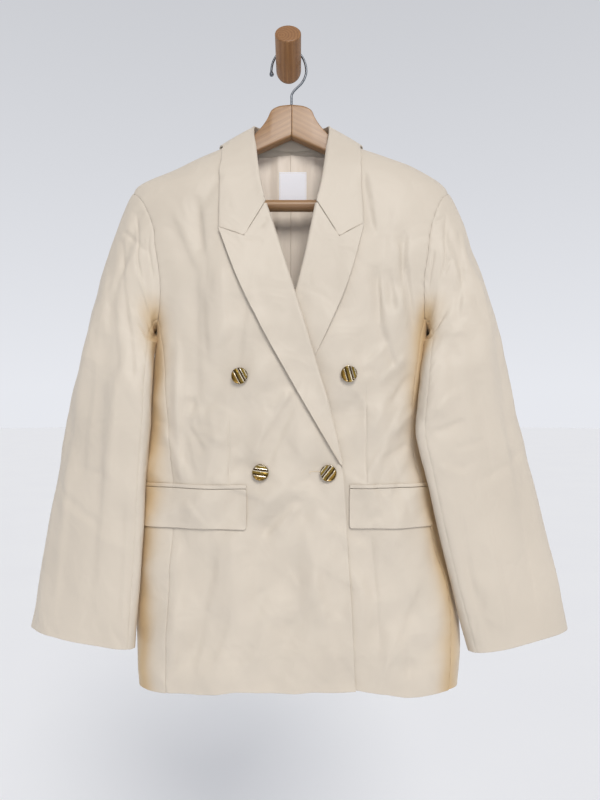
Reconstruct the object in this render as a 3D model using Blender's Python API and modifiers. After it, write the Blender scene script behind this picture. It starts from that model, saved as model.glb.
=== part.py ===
"""A double breasted blazer on a wooden hanger, hooked over a slanted wall peg.

Run it with blender --background --python part.py, or from Blender's text editor.

Blender's units are metres.  The tables and sizes below are in millimetres, and MM turns them
into metres where a mesh is made.  +Z is up, the wall is the plane Y = 0 and the blazer's front
faces -Y, so +X is on a viewer's right and on the wearer's left.  The origin is the middle of
the peg's cut end on the wall.

The blazer's outer face is a stack of rounded rings (TORSO).  A point on it is asked for by its
angle and height, or by X and height on the front or the back, with a distance outwards.  Every
panel, lapel, flap and button is laid on that face at its own distance, so the layers follow
each other and never cross.  The wearer's right front lies over the left one.
"""

import math

import bmesh
import bpy
import numpy as np
from mathutils import Matrix, Vector

MM = 0.001

# Cloth and clearances
CLOTH = 2.0  # cotton sateen with its fusing
LAPEL_CLOTH = 2.0
COLLAR_CLOTH = 2.4
POCKET_CLOTH = 1.6
LINING = 1.0
SEAM = 0.3  # between two pieces that are sewn together
LAID_GAP = 0.7  # under a piece that lies on another
ROUNDNESS = 2.8  # 2 is an ellipse, more is squarer
BODY_CENTRE = 4.5  # X of the neck's and the hanger's middle

# Rings of the torso's outer face: height, X of the wearer's right and left side, and
# Y of the sides, the front and the back
TORSO = (
    (-842, -195, 222, -53, -100, -4.5),
    (-785, -198, 226, -53, -102, -4.5),
    (-740, -199, 224, -54, -102, -4.5),
    (-660, -194, 206, -54, -101, -5),
    (-577, -190, 188, -54, -99, -6),
    (-513, -185, 174, -54, -97, -7),
    (-430, -178, 177, -54, -99, -6),
    (-372, -172, 183, -54, -99, -5),
    (-352, -181, 191, -53, -98, -5),
    (-330, -193, 200, -51, -97, -5),
    (-292, -205, 213, -48, -94, -5),
    (-250, -213, 221, -44, -89, -5.5),
    (-217, -213, 222, -41, -84, -6),
    (-185, -205.5, 213, -37, -76, -6.5),
    (-153, -149, 172, -31, -65, -7),
    (-125.5, -93, 101, -27, -54.4, -7),
    (-104.5, -57.5, 66.5, -24.5, -45, -7.5),
    (-96, -44, 52, -23.5, -41, -8),
)
SHOULDER_TOP = -104.5  # height of the shoulder seams' ends at the neck
SHOULDER_END = -185.0

# Soft folds of the front and back: face (1 front, -1 back), X and Z of both ends, half width
# and rise (a trough has a negative one)
FOLDS = (
    (1, -138, -395, -136, -560, 9, 2.2),
    (1, -116, -300, -112, -470, 14, -2.0),
    (1, 113, -300, 118, -372, 8, -2.4),
    (1, 118, -372, 136, -420, 7, -2.2),
    (1, 150, -250, 142, -330, 12, -2.5),
    (1, 100, -560, 150, -470, 10, 1.8),
    (1, 20, -620, 60, -800, 16, 1.6),
    (1, -90, -650, -120, -800, 16, -2.0),
    (1, 165, -690, 120, -800, 14, 2.2),
    (1, -20, -590, -100, -560, 12, 1.4),
    (1, -150, -230, -120, -300, 14, -1.8),
    (-1, -90, -170, -100, -420, 20, 1.6),
    (-1, 95, -170, 108, -430, 20, 1.6),
    (-1, -60, -480, -95, -800, 18, -1.6),
    (-1, 75, -470, 115, -810, 18, -1.6),
    (-1, 5, -520, 12, -800, 22, 1.6),
)

# Height of the front hem at X
HEM = (
    (-200, -837),
    (-153, -835),
    (-111, -834),
    (-60, -830),
    (86, -829),
    (120, -834),
    (150, -839),
    (180, -838),
    (226, -836),
)
SIDE_HEM = -836.0
BACK_HEM = -836.0

# How far the over front stands off where it covers the under front
OVER_LAPEL_RISE = 7.4
OVER_SKIRT_RISE = 3.2
OVER_RAMP = (-158, -72)  # X between which the rise grows
GORGE_TOP = -213.0  # height where the roll lines start, at the collar

# Free edge of each front, from the hem along its front edge, roll line and neck: share of the
# height, X and Z
OVER_EDGE = (
    (0.00, 85.7, -829),
    (0.22, 76.5, -660),
    (0.36, 69.2, -556),
    (0.38, 67.0, -547),
    (0.46, 55.8, -494),
    (0.55, 39.5, -437),
    (0.64, 20.0, -372),
    (0.75, -2.2, -300),
    (0.82, -18.4, -247),
    (0.87, -29.5, -213),
)
UNDER_EDGE = (
    (0.00, -66.5, -829),
    (0.22, -57.3, -660),
    (0.36, -50.0, -556),
    (0.38, -47.8, -547),
    (0.46, -36.6, -494),
    (0.55, -20.3, -437),
    (0.64, -0.8, -372),
    (0.75, 19.7, -300),
    (0.82, 31.5, -247),
    (0.87, 38.5, -213),
)
EDGE_INSIDE_FOLD = 0.6  # how far a front stops short of its roll line, inside the lapel's fold

# Neck seam of each side: place along the collar (1 front end, 0 centre back), distance from
# the middle, Z, and the face it lies on (1 front, 0 shoulder, -1 back)
NECK = (
    (1.00, 36.0, -213.0, 1),
    (0.90, 50.0, -184.0, 1),
    (0.75, 57.5, -139.0, 1),
    (0.62, 61.0, -117.0, 1),
    (0.50, 62.0, -104.5, 0),
    (0.35, 49.0, -112.0, -1),
    (0.20, 28.0, -119.5, -1),
    (0.00, 0.0, -122.0, -1),
)
# The collar's fold: place, distance from the middle, Y, Z
COLLAR_FOLD = (
    (1.00, 34.0, -84.5, -211.4),
    (0.90, 40.5, -76.0, -183.0),
    (0.75, 47.5, -57.0, -135.0),
    (0.62, 51.0, -42.0, -106.0),
    (0.55, 51.5, -32.0, -94.5),
    (0.47, 49.0, -22.5, -91.0),
    (0.35, 40.0, -14.0, -90.5),
    (0.20, 24.0, -9.4, -91.5),
    (0.00, 0.0, -8.2, -92.0),
)
# The collar's free edge: place, distance from the middle, Z, face
COLLAR_EDGE = (
    (1.00, 92.5, -240.5, 1),
    (0.94, 92.3, -223.0, 1),
    (0.88, 92.0, -205.0, 1),
    (0.80, 91.8, -181.5, 1),
    (0.72, 91.6, -158.0, 1),
    (0.66, 91.5, -144.0, 1),
    (0.61, 91.5, -133.5, 1),
    (0.57, 91.5, -126.5, 1),
    (0.52, 91.0, -125.0, 0),
    (0.42, 84.0, -126.0, -1),
    (0.28, 60.0, -135.5, -1),
    (0.14, 31.0, -139.5, -1),
    (0.00, 0.0, -140.0, -1),
)
COLLAR_PLACES = [1.0, 0.975, 0.94, 0.9, 0.85, 0.79, 0.73, 0.68, 0.63, 0.58, 0.54, 0.5, 0.46]
COLLAR_PLACES += [0.41, 0.35, 0.28, 0.2, 0.1, 0.0]
COLLAR_FOLD_RADIUS = 2.2
STAND_START = 2.9  # from the neck seam to the stand's lower edge
NECK_TURNING = 2.5  # how far the fronts stop short of the neck seam
FALL_BULGE = 2.0  # of the collar between its fold and its free edge
COLLAR_LIFT = 1.2  # how proud the collar's free edge stands
COLLAR_END_GAP = 1.5  # between the collar's ends and the lapels, straight up
COLLAR_END_TILT = 3.5  # the wearer's right collar end hangs this much lower than the left
TILT_START = 0.6  # place along the collar where the tilt starts
COLLAR_LAID = (0.62, 0.74)  # places between which the collar comes to lie on the front
COLLAR_TURN = 0.2  # length of the collar's end whose rows turn to the gorge's line
# Section of the collar at its fold, along the stand and across it
STAND_MIDDLE = 0.65  # share of the stand's height
FOLD_BELOW = (0.5, 0.2)  # below the fold, and the most as a share of the stand's height
FOLD_OVER = (1.2, 0.5)
FOLD_BESIDE = (0.9, -0.3)

# Lapel outlines: share of the way up the roll line, X and Z of the free edge
OVER_LAPEL = (
    (0.00, 63.5, -541.0),
    (0.20, 29.0, -481.0),
    (0.42, -6.5, -419.4),
    (0.53, -23.3, -389.5),
    (0.78, -60.8, -314.9),
    (1.00, -87.4, -246.6),
)
UNDER_LAPEL = (
    (0.00, -43.0, -541.0),
    (0.20, -8.0, -481.0),
    (0.42, 28.5, -420.0),
    (0.53, 44.0, -389.5),
    (0.78, 77.5, -311.0),
    (1.00, 97.5, -240.5),
)
GORGE_CORNER = ((-54.4, -257.4), (65.3, -257.4))  # over, under
GORGE_SHARE = 0.58  # of the lapel's top that is gorge seam, the rest is the closed notch
LAPEL_LIFT = 2.2  # how proud a lapel's free edge stands
FACING = 20.0  # width of the lapel's facing behind the front
FACING_START = 0.35  # share of that width at the lapel's lower end
FACING_RUN = 0.2  # share of the roll line over which the facing widens
LAPEL_TURN = 0.16  # share of the roll line over which a lapel's rows turn to the gorge's line
TURN_POWER = 1.6  # of that turn, and of the collar's
UNDER_LIFTS = (-405.0, -355.0)  # heights between which the under lapel comes to stand proud
NECK_BLEND = 0.02  # share of a front's height over which its edge turns into the neck seam
TURNING_FADE = 0.012  # the same for the neck turning at the shoulder
TUCK_ROWS = (0.37, 0.39)  # shares of a front's height between which its edge tucks into the fold

# Side seams, X at height, and armholes from the shoulder (0) down the front, under the arm
# (0.5) and up the back (1): share, X, Z, face
OVER_SEAM = (
    (-836, -154),
    (-740, -151),
    (-604, -145),
    (-550, -148),
    (-486, -151.5),
    (-437, -155.4),
    (-395, -161),
    (-360, -167),
)
UNDER_SEAM = (
    (-836, 208),
    (-740, 209),
    (-650, 191),
    (-577, 173),
    (-513, 162),
    (-470, 161),
    (-430, 163),
    (-395, 169),
    (-360, 178),
)
SEAM_TOP = -360.0
SEAM_ENDS = (0.44, 0.56)  # shares of the armhole where the front and back side seams meet it
BACK_SEAM_IN = (  # height, distance of the back side seams from the torso's side
    (-836, 62),
    (-600, 58),
    (-500, 46),
    (-430, 34),
    (-372, 22),
    (-352, 26),
)
BACK_SEAM_TOP = -352.0
OVER_ARMHOLE = (
    (0.00, -205.5, -185, 0),
    (0.06, -194.0, -199, 1),
    (0.13, -181.7, -219, 1),
    (0.21, -170.7, -254, 1),
    (0.30, -164.6, -296, 1),
    (0.37, -162.6, -327, 1),
    (0.44, -167.0, -360, 1),
    (0.50, -172.0, -372, 0),
    (0.56, -155.0, -352, -1),
    (0.63, -152.0, -324, -1),
    (0.71, -154.0, -290, -1),
    (0.80, -162.0, -250, -1),
    (0.89, -177.0, -215, -1),
    (0.95, -191.0, -197, -1),
    (1.00, -205.5, -185, 0),
)
UNDER_ARMHOLE = (
    (0.00, 213.0, -185, 0),
    (0.06, 202.0, -200, 1),
    (0.13, 191.5, -222, 1),
    (0.21, 182.5, -256, 1),
    (0.30, 176.6, -297, 1),
    (0.37, 175.0, -328, 1),
    (0.44, 178.0, -360, 1),
    (0.50, 183.0, -372, 0),
    (0.56, 165.0, -352, -1),
    (0.63, 162.0, -324, -1),
    (0.71, 164.0, -290, -1),
    (0.80, 172.0, -250, -1),
    (0.89, 186.0, -215, -1),
    (0.95, 199.5, -197, -1),
    (1.00, 213.0, -185, 0),
)

# Rings of the sleeves below the armhole: X, Y, Z of the outer and of the inner edge, and
# half the thickness
OVER_SLEEVE = (
    (-266, -49, -383, -175.5, -77, -392, 28),
    (-284, -46, -464, -173, -92, -468, 25),
    (-303, -46, -556, -180, -92, -563, 22),
    (-323, -46, -664, -186.5, -92, -674, 21),
    (-341, -46, -765, -193, -91, -778, 21),
)
UNDER_SLEEVE = (
    (279, -49, -383, 186, -76, -390, 29),
    (291, -47, -437, 174, -92, -440, 27),
    (303.5, -46, -488, 163.5, -97, -499, 24),
    (322, -46, -556, 175.5, -96, -560, 22),
    (347, -46, -664, 202, -91, -674, 21),
    (371, -46, -767, 231, -88, -784, 21),
)
SLEEVE_START = 1.3  # how far a sleeve starts outside its armhole
SLEEVE_ROUNDNESS = 2.2
# How a sleeve leaves its armhole: ahead, and down at the shoulder and at the underarm, all
# against 1 sideways
LEAVE_AHEAD, LEAVE_SHOULDER, LEAVE_UNDERARM = 0.12, 0.9, 0.4
# Pull of the sleeve head's curve where it leaves the armhole and where it meets the first
# ring, both as shares of its reach: all round, and how much less at the shoulder
HEAD_LEAVES, HEAD_LEAVES_LESS = 0.75, 0.42
HEAD_MEETS, HEAD_MEETS_LESS = 0.95, 0.35
SLEEVE_SEAM_GAP = 0.0006  # of a turn, on each side of a sleeve's seams
SLEEVE_HEAD_SHARE = 0.42  # of a sleeve's rows that run from the armhole to its first ring

# Sleeve folds: sleeve (-1 over, 1 under), turn round the sleeve and share of its length at
# both ends, half width (turns), rise
SLEEVE_FOLDS = (
    (-1, 0.12, 0.04, 0.24, 0.30, 0.030, -3.0),
    (-1, 0.22, 0.25, 0.27, 0.72, 0.028, -2.6),
    (-1, 0.15, 0.35, 0.17, 0.90, 0.035, 2.0),
    (-1, 0.33, 0.40, 0.30, 0.80, 0.030, 1.8),
    (-1, 0.70, 0.20, 0.66, 0.80, 0.040, -2.4),
    (1, 0.12, 0.05, 0.25, 0.28, 0.030, -2.6),
    (1, 0.24, 0.25, 0.20, 0.62, 0.030, 2.6),
    (1, 0.34, 0.40, 0.30, 0.75, 0.030, -2.4),
    (1, 0.14, 0.45, 0.16, 0.95, 0.035, -2.0),
    (1, 0.68, 0.20, 0.66, 0.80, 0.040, -2.4),
)

# Pockets: X of both ends, and heights
POCKETS = {"right": (-182.0, -50.5), "left": (77.8, 186.0)}
WELT_TOP, WELT_BOTTOM = -569.8, -574.6
FLAP_TOP, FLAP_BOTTOM = -575.2, -625.0
FLAP_CORNER = 3.5
FLAP_LIFT = 1.2

# Buttons: piece, X, Z
BUTTONS = (
    ("button_upper_right", -57.8, -434.0),
    ("button_upper_left", 76.3, -431.5),
    ("button_lower_right", -32.8, -554.0),
    ("button_lower_left", 50.8, -555.0),
)
BUTTON_RADIUS = 10.25
# Half section of a button: distance from its axis, height over the cloth
BUTTON_PROFILE = (
    (0.0, 7.0),
    (4.5, 6.8),
    (8.2, 6.1),
    (8.8, 6.5),
    (9.8, 6.3),
    (BUTTON_RADIUS, 5.4),
    (BUTTON_RADIUS, 4.4),
    (9.0, 3.4),
    (3.0, 2.8),
    (2.6, SEAM),
    (0.0, SEAM),
)

# Lining and blank label inside the back
LINING_SIDE = 104.0
LINING_GAP = 1.2  # between the back and the lining
LINING_TOP, LINING_BOTTOM = -125.0, -560.0
LABEL_SIZE = 38.0, 42.0
LABEL_CENTRE = 6.0, -169.0

# Peg: a dowel that slants up from the wall
PEG_RADIUS = 17.5
PEG_TILT = math.radians(27)
PEG_LENGTH = 54.0
PEG_ROUNDING = 2.0

# Hanger: everything is drawn upright and leans out from the hook's contact
WIRE = 3.5
HOOK_Y = -7.0
HOOK_RADIUS = 24.2
HOOK_CENTRE = 0.5, -8.2
HANGER_LEAN = math.radians(8)
BOARD = 16.5
BOARD_ROUNDING = 5.5
HANGER_TOP = -60.0
# Right half of the board: distance from the middle and height
HANGER_OUTLINE = (
    (0, HANGER_TOP),
    (14, -61.5),
    (26.5, -67.5),
    (32.5, -80),
    (39, -90.5),
    (50, -103.2),
    (66, -117.1),
    (97, -131.8),
    (153, -158.8),
    (184, -177.9),
    (194, -191),
    (192, -211),
    (180, -216),
    (166, -213),
    (166, -190),
    (145, -180),
    (97, -154),
    (47, -129),
    (0, -107),
)
BAR_RADIUS = 7.8
BAR_HEIGHT = -203.0
BAR_END = 166.0

GARMENT_COLOUR = (0.70, 0.62, 0.52)
MATERIALS = {
    "cotton_sateen": (GARMENT_COLOUR, 0.62, 0.0),
    "lining_satin": ((0.73, 0.62, 0.52), 0.45, 0.0),
    "label_tape": ((0.78, 0.78, 0.86), 0.6, 0.0),
    "gilt_metal": ((0.45, 0.31, 0.12), 0.25, 1.0),
    "beech": ((0.53, 0.37, 0.23), 0.45, 0.0),
    "oiled_wood": ((0.24, 0.13, 0.07), 0.5, 0.0),
    "steel_wire": ((0.42, 0.44, 0.47), 0.3, 1.0),
}


def smooth(rows):
    """A function that runs smoothly, without overshoot, through the rows' first column."""
    data = np.array(sorted(rows), float)
    at, values = data[:, 0], data[:, 1:]
    steps = np.diff(at)[:, None]
    slopes = np.diff(values, axis=0) / steps
    tangents = np.zeros_like(values)
    before, after = slopes[:-1], slopes[1:]
    total = np.where(np.abs(before + after) < 1e-12, 1.0, before + after)
    tangents[1:-1] = np.where(before * after > 0, 2 * before * after / total, 0.0)
    tangents[0], tangents[-1] = slopes[0], slopes[-1]

    def value(t):
        row = int(np.clip(np.searchsorted(at, t) - 1, 0, len(at) - 2))
        step = at[row + 1] - at[row]
        s = min(max((t - at[row]) / step, 0.0), 1.0)
        start, end = values[row], values[row + 1]
        leave, arrive = tangents[row] * step, tangents[row + 1] * step
        return (
            start * (1 + 2 * s) * (1 - s) ** 2
            + end * s * s * (3 - 2 * s)
            + leave * s * (1 - s) ** 2
            - arrive * s * s * (1 - s)
        )

    return value


def ease(t):
    """0 below 0, 1 above 1, and smooth between."""
    t = min(max(t, 0.0), 1.0)
    return t * t * (3 - 2 * t)


def unit(vector):
    return vector / np.linalg.norm(vector)


def power(value, exponent):
    """A power that keeps the sign."""
    return math.copysign(abs(value) ** exponent, value)


# The torso's face ------------------------------------------------------------------------

torso_sizes = smooth(TORSO)
hem_height = smooth(HEM)


def ring_point(angle, height, split=0.0):
    """Angle 0 is the wearer's left side, a quarter turn on is the front."""
    left, right, side, front, back = torso_sizes(height)
    centre, half = (left + right) / 2, (right - left) / 2
    depth = side - front if math.sin(angle) > 0 else back - side
    x = centre + half * power(math.cos(angle), 2 / ROUNDNESS)
    y = side + split - depth * power(math.sin(angle), 2 / ROUNDNESS)
    return np.array((x, y, height))


def ring_normal(angle, height):
    turn, step = 1e-3, 0.4
    along = ring_point(angle + turn, height) - ring_point(angle - turn, height)
    up = ring_point(angle, height + step) - ring_point(angle, height - step)
    return unit(np.cross(up, along))


def fold_rise(x, z, face):
    """How far the soft folds lift the face at a point."""
    rise = 0.0
    for side, x0, z0, x1, z1, half_width, height in FOLDS:
        if side != face:
            continue
        run = np.array((x1 - x0, z1 - z0))
        away = np.array((x - x0, z - z0))
        share = float(away @ run / (run @ run))
        nearest = away - run * min(max(share, 0.0), 1.0)
        fade = ease((share + 0.15) / 0.35) * ease((1.15 - share) / 0.35)
        rise += height * fade * math.exp(-float(nearest @ nearest) / half_width**2)
    return rise


def torso(angle, height, out=0.0, split=0.0):
    point = ring_point(angle, height, split)
    face = 1 if math.sin(angle) > 0 else -1
    flank = abs(math.sin(angle))
    rise = fold_rise(point[0], height, face) * ease(flank * 2.5)
    return point + ring_normal(angle, height) * (out + rise)


def face_angle(x, height, face, side=0):
    """The angle of the point at X on the front (1), a side (0) or the back (-1).

    On the back the angle runs on from side 1 or side -1, or from the nearer one."""
    left, right = torso_sizes(height)[:2]
    centre, half = (left + right) / 2, (right - left) / 2
    share = min(max((x - centre) / half, -1.0), 1.0)
    if face == 0:
        share = math.copysign(1.0, share)
    angle = math.acos(power(share, ROUNDNESS / 2))
    if face >= 0:
        return angle
    return -angle if side > 0 or (side == 0 and share > 0) else 2 * math.pi - angle


def over_rise(x, z):
    """How far the over front stands off the torso's face."""
    lapel = ease((-225 - z) / 95)
    skirt = ease((-552 - z) / 110)
    height = OVER_LAPEL_RISE * lapel * (1 - skirt) + OVER_SKIRT_RISE * skirt
    return height * ease((x - OVER_RAMP[0]) / (OVER_RAMP[1] - OVER_RAMP[0]))


def front(side, x, z, out=0.0):
    """A point in front of the chest; side -1 is the over front, 1 the under front."""
    if side < 0:
        out += over_rise(x, z)
    return torso(face_angle(x, z, 1), z, out, -SEAM / 2)


def back(x, z, out=0.0):
    angle = face_angle(x, z, -1)
    return torso(angle, z, out, SEAM / 2)


# Meshes ----------------------------------------------------------------------------------


def millimetres(points):
    return [Vector(tuple(float(value) * MM for value in point)) for point in points]


def material_named(name):
    material = bpy.data.materials.get(name)
    if material:
        return material
    colour, roughness, metallic = MATERIALS[name]
    material = bpy.data.materials.new(name)
    material.use_nodes = True
    shader = material.node_tree.nodes["Principled BSDF"]
    shader.inputs["Base Color"].default_value = (*colour, 1.0)
    shader.inputs["Roughness"].default_value = roughness
    shader.inputs["Metallic"].default_value = metallic
    return material


def add_object(name, mesh, material):
    made = bpy.data.objects.new(name, mesh)
    mesh.materials.append(material_named(material))
    blazer_collection.objects.link(made)
    return made


def finish_mesh(name, shape, material):
    """A mesh object from a bmesh in metres, facing outwards and shaded smooth."""
    bmesh.ops.recalc_face_normals(shape, faces=shape.faces)
    mesh = bpy.data.meshes.new(name)
    shape.to_mesh(mesh)
    shape.free()
    mesh.shade_smooth()
    mesh.set_sharp_from_angle(angle=math.radians(40))
    return add_object(name, mesh, material)


def wall_between(name, outer, inner, material):
    """One closed wall of cloth between two grids of points."""
    rows, columns = len(outer), len(outer[0])
    shape = bmesh.new()
    faces = []
    for grid in (outer, inner):
        for row in grid:
            faces.extend(shape.verts.new(point) for point in millimetres(row))
    size = rows * columns

    def corner(layer, row, column):
        return faces[layer * size + row * columns + column]

    def quad(first, second, third, fourth):
        shape.faces.new((corner(*first), corner(*second), corner(*third), corner(*fourth)))

    for row in range(rows - 1):
        for column in range(columns - 1):
            square = ((row, column), (row + 1, column), (row + 1, column + 1), (row, column + 1))
            quad(*((0, *place) for place in square))
            quad(*((1, *place) for place in reversed(square)))
    rim = [(0, column) for column in range(columns - 1)]
    rim += [(row, columns - 1) for row in range(rows - 1)]
    rim += [(rows - 1, column) for column in range(columns - 1, 0, -1)]
    rim += [(row, 0) for row in range(rows - 1, 0, -1)]
    for place, following in zip(rim, rim[1:] + rim[:1]):
        quad((0, *place), (0, *following), (1, *following), (1, *place))
    return finish_mesh(name, shape, material)


def grid_of(point, rows, columns):
    return [[point(column, row) for column in columns] for row in rows]


def cloth(name, place, rows, columns, top=0.0, thickness=CLOTH, material="cotton_sateen"):
    """A wall whose points place(column, row, out) gives at a distance out."""
    outer = grid_of(lambda u, v: place(u, v, top), rows, columns)
    inner = grid_of(lambda u, v: place(u, v, top - thickness), rows, columns)
    return wall_between(name, outer, inner, material)


def coons(left, right, bottom, top, u, v):
    """A point of the patch between four edges, each a function of 0 to 1."""
    straight = left(v) * (1 - u) + right(v) * u + bottom(u) * (1 - v) + top(u) * v
    corners = (left(0) * (1 - u) + right(0) * u) * (1 - v)
    corners = corners + (left(1) * (1 - u) + right(1) * u) * v
    return straight - corners


def even(count, start=0.0, end=1.0):
    return [start + (end - start) * step / (count - 1) for step in range(count)]


# Edges that pieces share -----------------------------------------------------------------


def faced(rows, side):
    """Rows of share, X, Z, face as a smooth function to the torso's angle and height."""
    return smooth([(share, face_angle(x, z, face, side), z) for share, x, z, face in rows])


def mirrored(rows, side):
    """The same for rows whose X is a distance from the middle."""
    return faced([(share, BODY_CENTRE + side * x, z, face) for share, x, z, face in rows], side)


armholes = {-1: faced(OVER_ARMHOLE, -1), 1: faced(UNDER_ARMHOLE, 1)}
necks = {side: mirrored(NECK, side) for side in (-1, 1)}
seams = {-1: smooth(OVER_SEAM), 1: smooth(UNDER_SEAM)}
free_edges = {-1: smooth(OVER_EDGE), 1: smooth(UNDER_EDGE)}
back_seam_in = smooth(BACK_SEAM_IN)

EDGE_TOP = OVER_EDGE[-1][0]  # share of a front's height where its neck starts
ROLL_SHARES = (0.383, EDGE_TOP)  # shares of a front's height between which it rolls back
SEAM_SHARE = 0.64  # share of a front's height where its side seam ends at the armhole
SEAM_ROWS = [0.0, 0.07, 0.15, 0.22, 0.28, 0.33, 0.36, 0.38, 0.43, 0.48, 0.53, 0.58, 0.61]
ARMHOLE_ROWS = [0.64, 0.68, 0.72, 0.76, 0.80, 0.84, 0.87, 0.885, 0.91, 0.94, 0.968, 0.988, 1.0]
FRONT_COLUMNS = [0.0, 0.09, 0.19, 0.29, 0.4, 0.5, 0.6, 0.7, 0.79, 0.87, 0.94, 1.0]
SIDE_COLUMNS = [0.0, 0.15, 0.3, 0.42, 0.5, 0.58, 0.7, 0.85, 1.0]


def surface_place(angle, height):
    """X and Z of a place on the torso's face."""
    return np.array((ring_point(angle, height)[0], height))


def armhole_place(side, share):
    return surface_place(*armholes[side](share))


def front_armhole_share(v):
    """Share of the armhole at a share of a front's height."""
    return SEAM_ENDS[0] * (1 - (v - SEAM_SHARE) / (1 - SEAM_SHARE))


def back_armhole_share(v):
    return SEAM_ENDS[1] + (1 - SEAM_ENDS[1]) * (v - SEAM_SHARE) / (1 - SEAM_SHARE)


def front_free_edge(side, v):
    """Hem, front edge, roll line and neck of a front, from 0 to 1."""
    if v <= EDGE_TOP:
        x, z = free_edges[side](v)
        low, high = TUCK_ROWS
        inside = EDGE_INSIDE_FOLD * ease((v - low) / (high - low))
        return np.array((x + side * inside, z))
    place = 1.0 - (v - EDGE_TOP) / (1 - EDGE_TOP) * 0.5
    turning = NECK_TURNING * ease((1 - v) / TURNING_FADE)
    spot = surface_place(*necks[side](place)) + np.array((side * turning, 0))
    joined = free_edges[side](EDGE_TOP)
    blend = ease((v - EDGE_TOP) / NECK_BLEND)
    start = np.array((joined[0] + side * EDGE_INSIDE_FOLD, joined[1]))
    return start * (1 - blend) + spot * blend


def front_side_edge(side, v):
    if v <= SEAM_SHARE:
        low = SIDE_HEM
        z = low + (SEAM_TOP - low) * v / SEAM_SHARE
        return np.array((seams[side](z)[0] - side * SEAM / 2, z))
    return armhole_place(side, front_armhole_share(v))


def shoulder_edge(side, u):
    z = SHOULDER_TOP + (SHOULDER_END - SHOULDER_TOP) * u
    left, right = torso_sizes(z)[:2]
    return np.array((left if side < 0 else right, z))


def front_hem(side, u):
    start, end = front_free_edge(side, 0.0), front_side_edge(side, 0.0)
    x = start[0] + (end[0] - start[0]) * u
    return np.array((x, hem_height(x)[0]))


def front_patch(side, u, v):
    return coons(
        lambda t: front_free_edge(side, t),
        lambda t: front_side_edge(side, t),
        lambda t: front_hem(side, t),
        lambda t: shoulder_edge(side, t),
        u,
        v,
    )


def make_front(name, side):
    def place(u, v, out):
        x, z = front_patch(side, u, v)
        return front(side, x, z, out)

    return cloth(name, place, SEAM_ROWS + ARMHOLE_ROWS, FRONT_COLUMNS)


# Side panels and backs -------------------------------------------------------------------


def back_seam_x(side, z):
    left, right = torso_sizes(z)[:2]
    inwards = back_seam_in(z)[0]
    return left + inwards if side < 0 else right - inwards


def side_panel_angle(side, u, z):
    """From the front seam (0) round the side to the back seam (1)."""
    start = face_angle(seams[side](z)[0] + side * SEAM / 2, z, 1)
    end = face_angle(back_seam_x(side, z) + side * SEAM / 2, z, -1)
    return start + (end - start) * u


def side_panel_top(side, u):
    share = SEAM_ENDS[0] + (SEAM_ENDS[1] - SEAM_ENDS[0]) * u
    return armholes[side](share)[1]


def make_side(name, side):
    def place(u, v, out):
        z = SIDE_HEM + (side_panel_top(side, u) - SIDE_HEM) * v
        return torso(side_panel_angle(side, u, z), z, out)

    rows = [row / SEAM_SHARE for row in SEAM_ROWS + [SEAM_SHARE]]
    return cloth(name, place, rows, SIDE_COLUMNS)


def back_centre(v):
    z = BACK_HEM + (NECK[-1][2] - BACK_HEM) * v
    return np.array((BODY_CENTRE + 9.0 * (1 - v), z))


def back_side_edge(side, v):
    if v <= SEAM_SHARE:
        z = BACK_HEM + (BACK_SEAM_TOP - BACK_HEM) * v / SEAM_SHARE
        return np.array((back_seam_x(side, z) - side * SEAM / 2, z))
    return armhole_place(side, back_armhole_share(v))


NECK_SHARE = 0.3  # of a back's top that is neckline


def back_top(side, u):
    if u < NECK_SHARE:
        return surface_place(*necks[side](0.5 * u / NECK_SHARE))
    return shoulder_edge(side, (u - NECK_SHARE) / (1 - NECK_SHARE))


def make_back(name, side):
    def place(u, v, out):
        x, z = coons(
            back_centre,
            lambda t: back_side_edge(side, t),
            lambda t: np.array(
                (back_centre(0)[0] * (1 - t) + back_side_edge(side, 0)[0] * t, BACK_HEM)
            ),
            lambda t: back_top(side, t),
            u,
            v,
        )
        if u == 0:
            x += side * SEAM / 2
        return back(x, z, out)

    columns = [0.0, 0.1, 0.2, NECK_SHARE, 0.42, 0.55, 0.68, 0.8, 0.91, 1.0]
    return cloth(name, place, SEAM_ROWS + ARMHOLE_ROWS, columns)


# Lapels and collar -----------------------------------------------------------------------


def roll_point(side, share):
    """X and Z on a roll line, from the break (0) to the gorge (1)."""
    low, high = ROLL_SHARES
    return free_edges[side](low + (high - low) * share)


lapel_edges = {-1: smooth(OVER_LAPEL), 1: smooth(UNDER_LAPEL)}


def lapel_top(side, u):
    """The gorge seam and the closed notch, from the roll line to the peak."""
    start = roll_point(side, 1.0)
    corner = np.array(GORGE_CORNER[0 if side < 0 else 1])
    end = lapel_edges[side](1.0)
    if u < GORGE_SHARE:
        return start + (corner - start) * u / GORGE_SHARE
    return corner + (end - corner) * (u - GORGE_SHARE) / (1 - GORGE_SHARE)


def lapel_place(side, u, v):
    start, end = roll_point(side, v), lapel_edges[side](v)
    straight = start + (end - start) * u
    top_straight = roll_point(side, 1.0) * (1 - u) + lapel_edges[side](1.0) * u
    bend = max((v - 1 + LAPEL_TURN) / LAPEL_TURN, 0.0) ** TURN_POWER
    return straight + (lapel_top(side, u) - top_straight) * bend


def fold_section(gap_below, gap_above, thickness, arc=5):
    """Distances across and outwards of a fold's outer and inner points round a cloth's edge."""
    middle = (gap_below + gap_above) / 2
    inside = (gap_above - gap_below) / 2
    points = []
    for step in range(arc + 1):
        turn = -math.pi / 2 - math.pi * step / arc
        across, out = math.cos(turn), math.sin(turn)
        outside = inside + thickness
        outer = (across * outside, middle + out * outside)
        points.append((*outer, across * inside, middle + out * inside))
    return points


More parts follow.
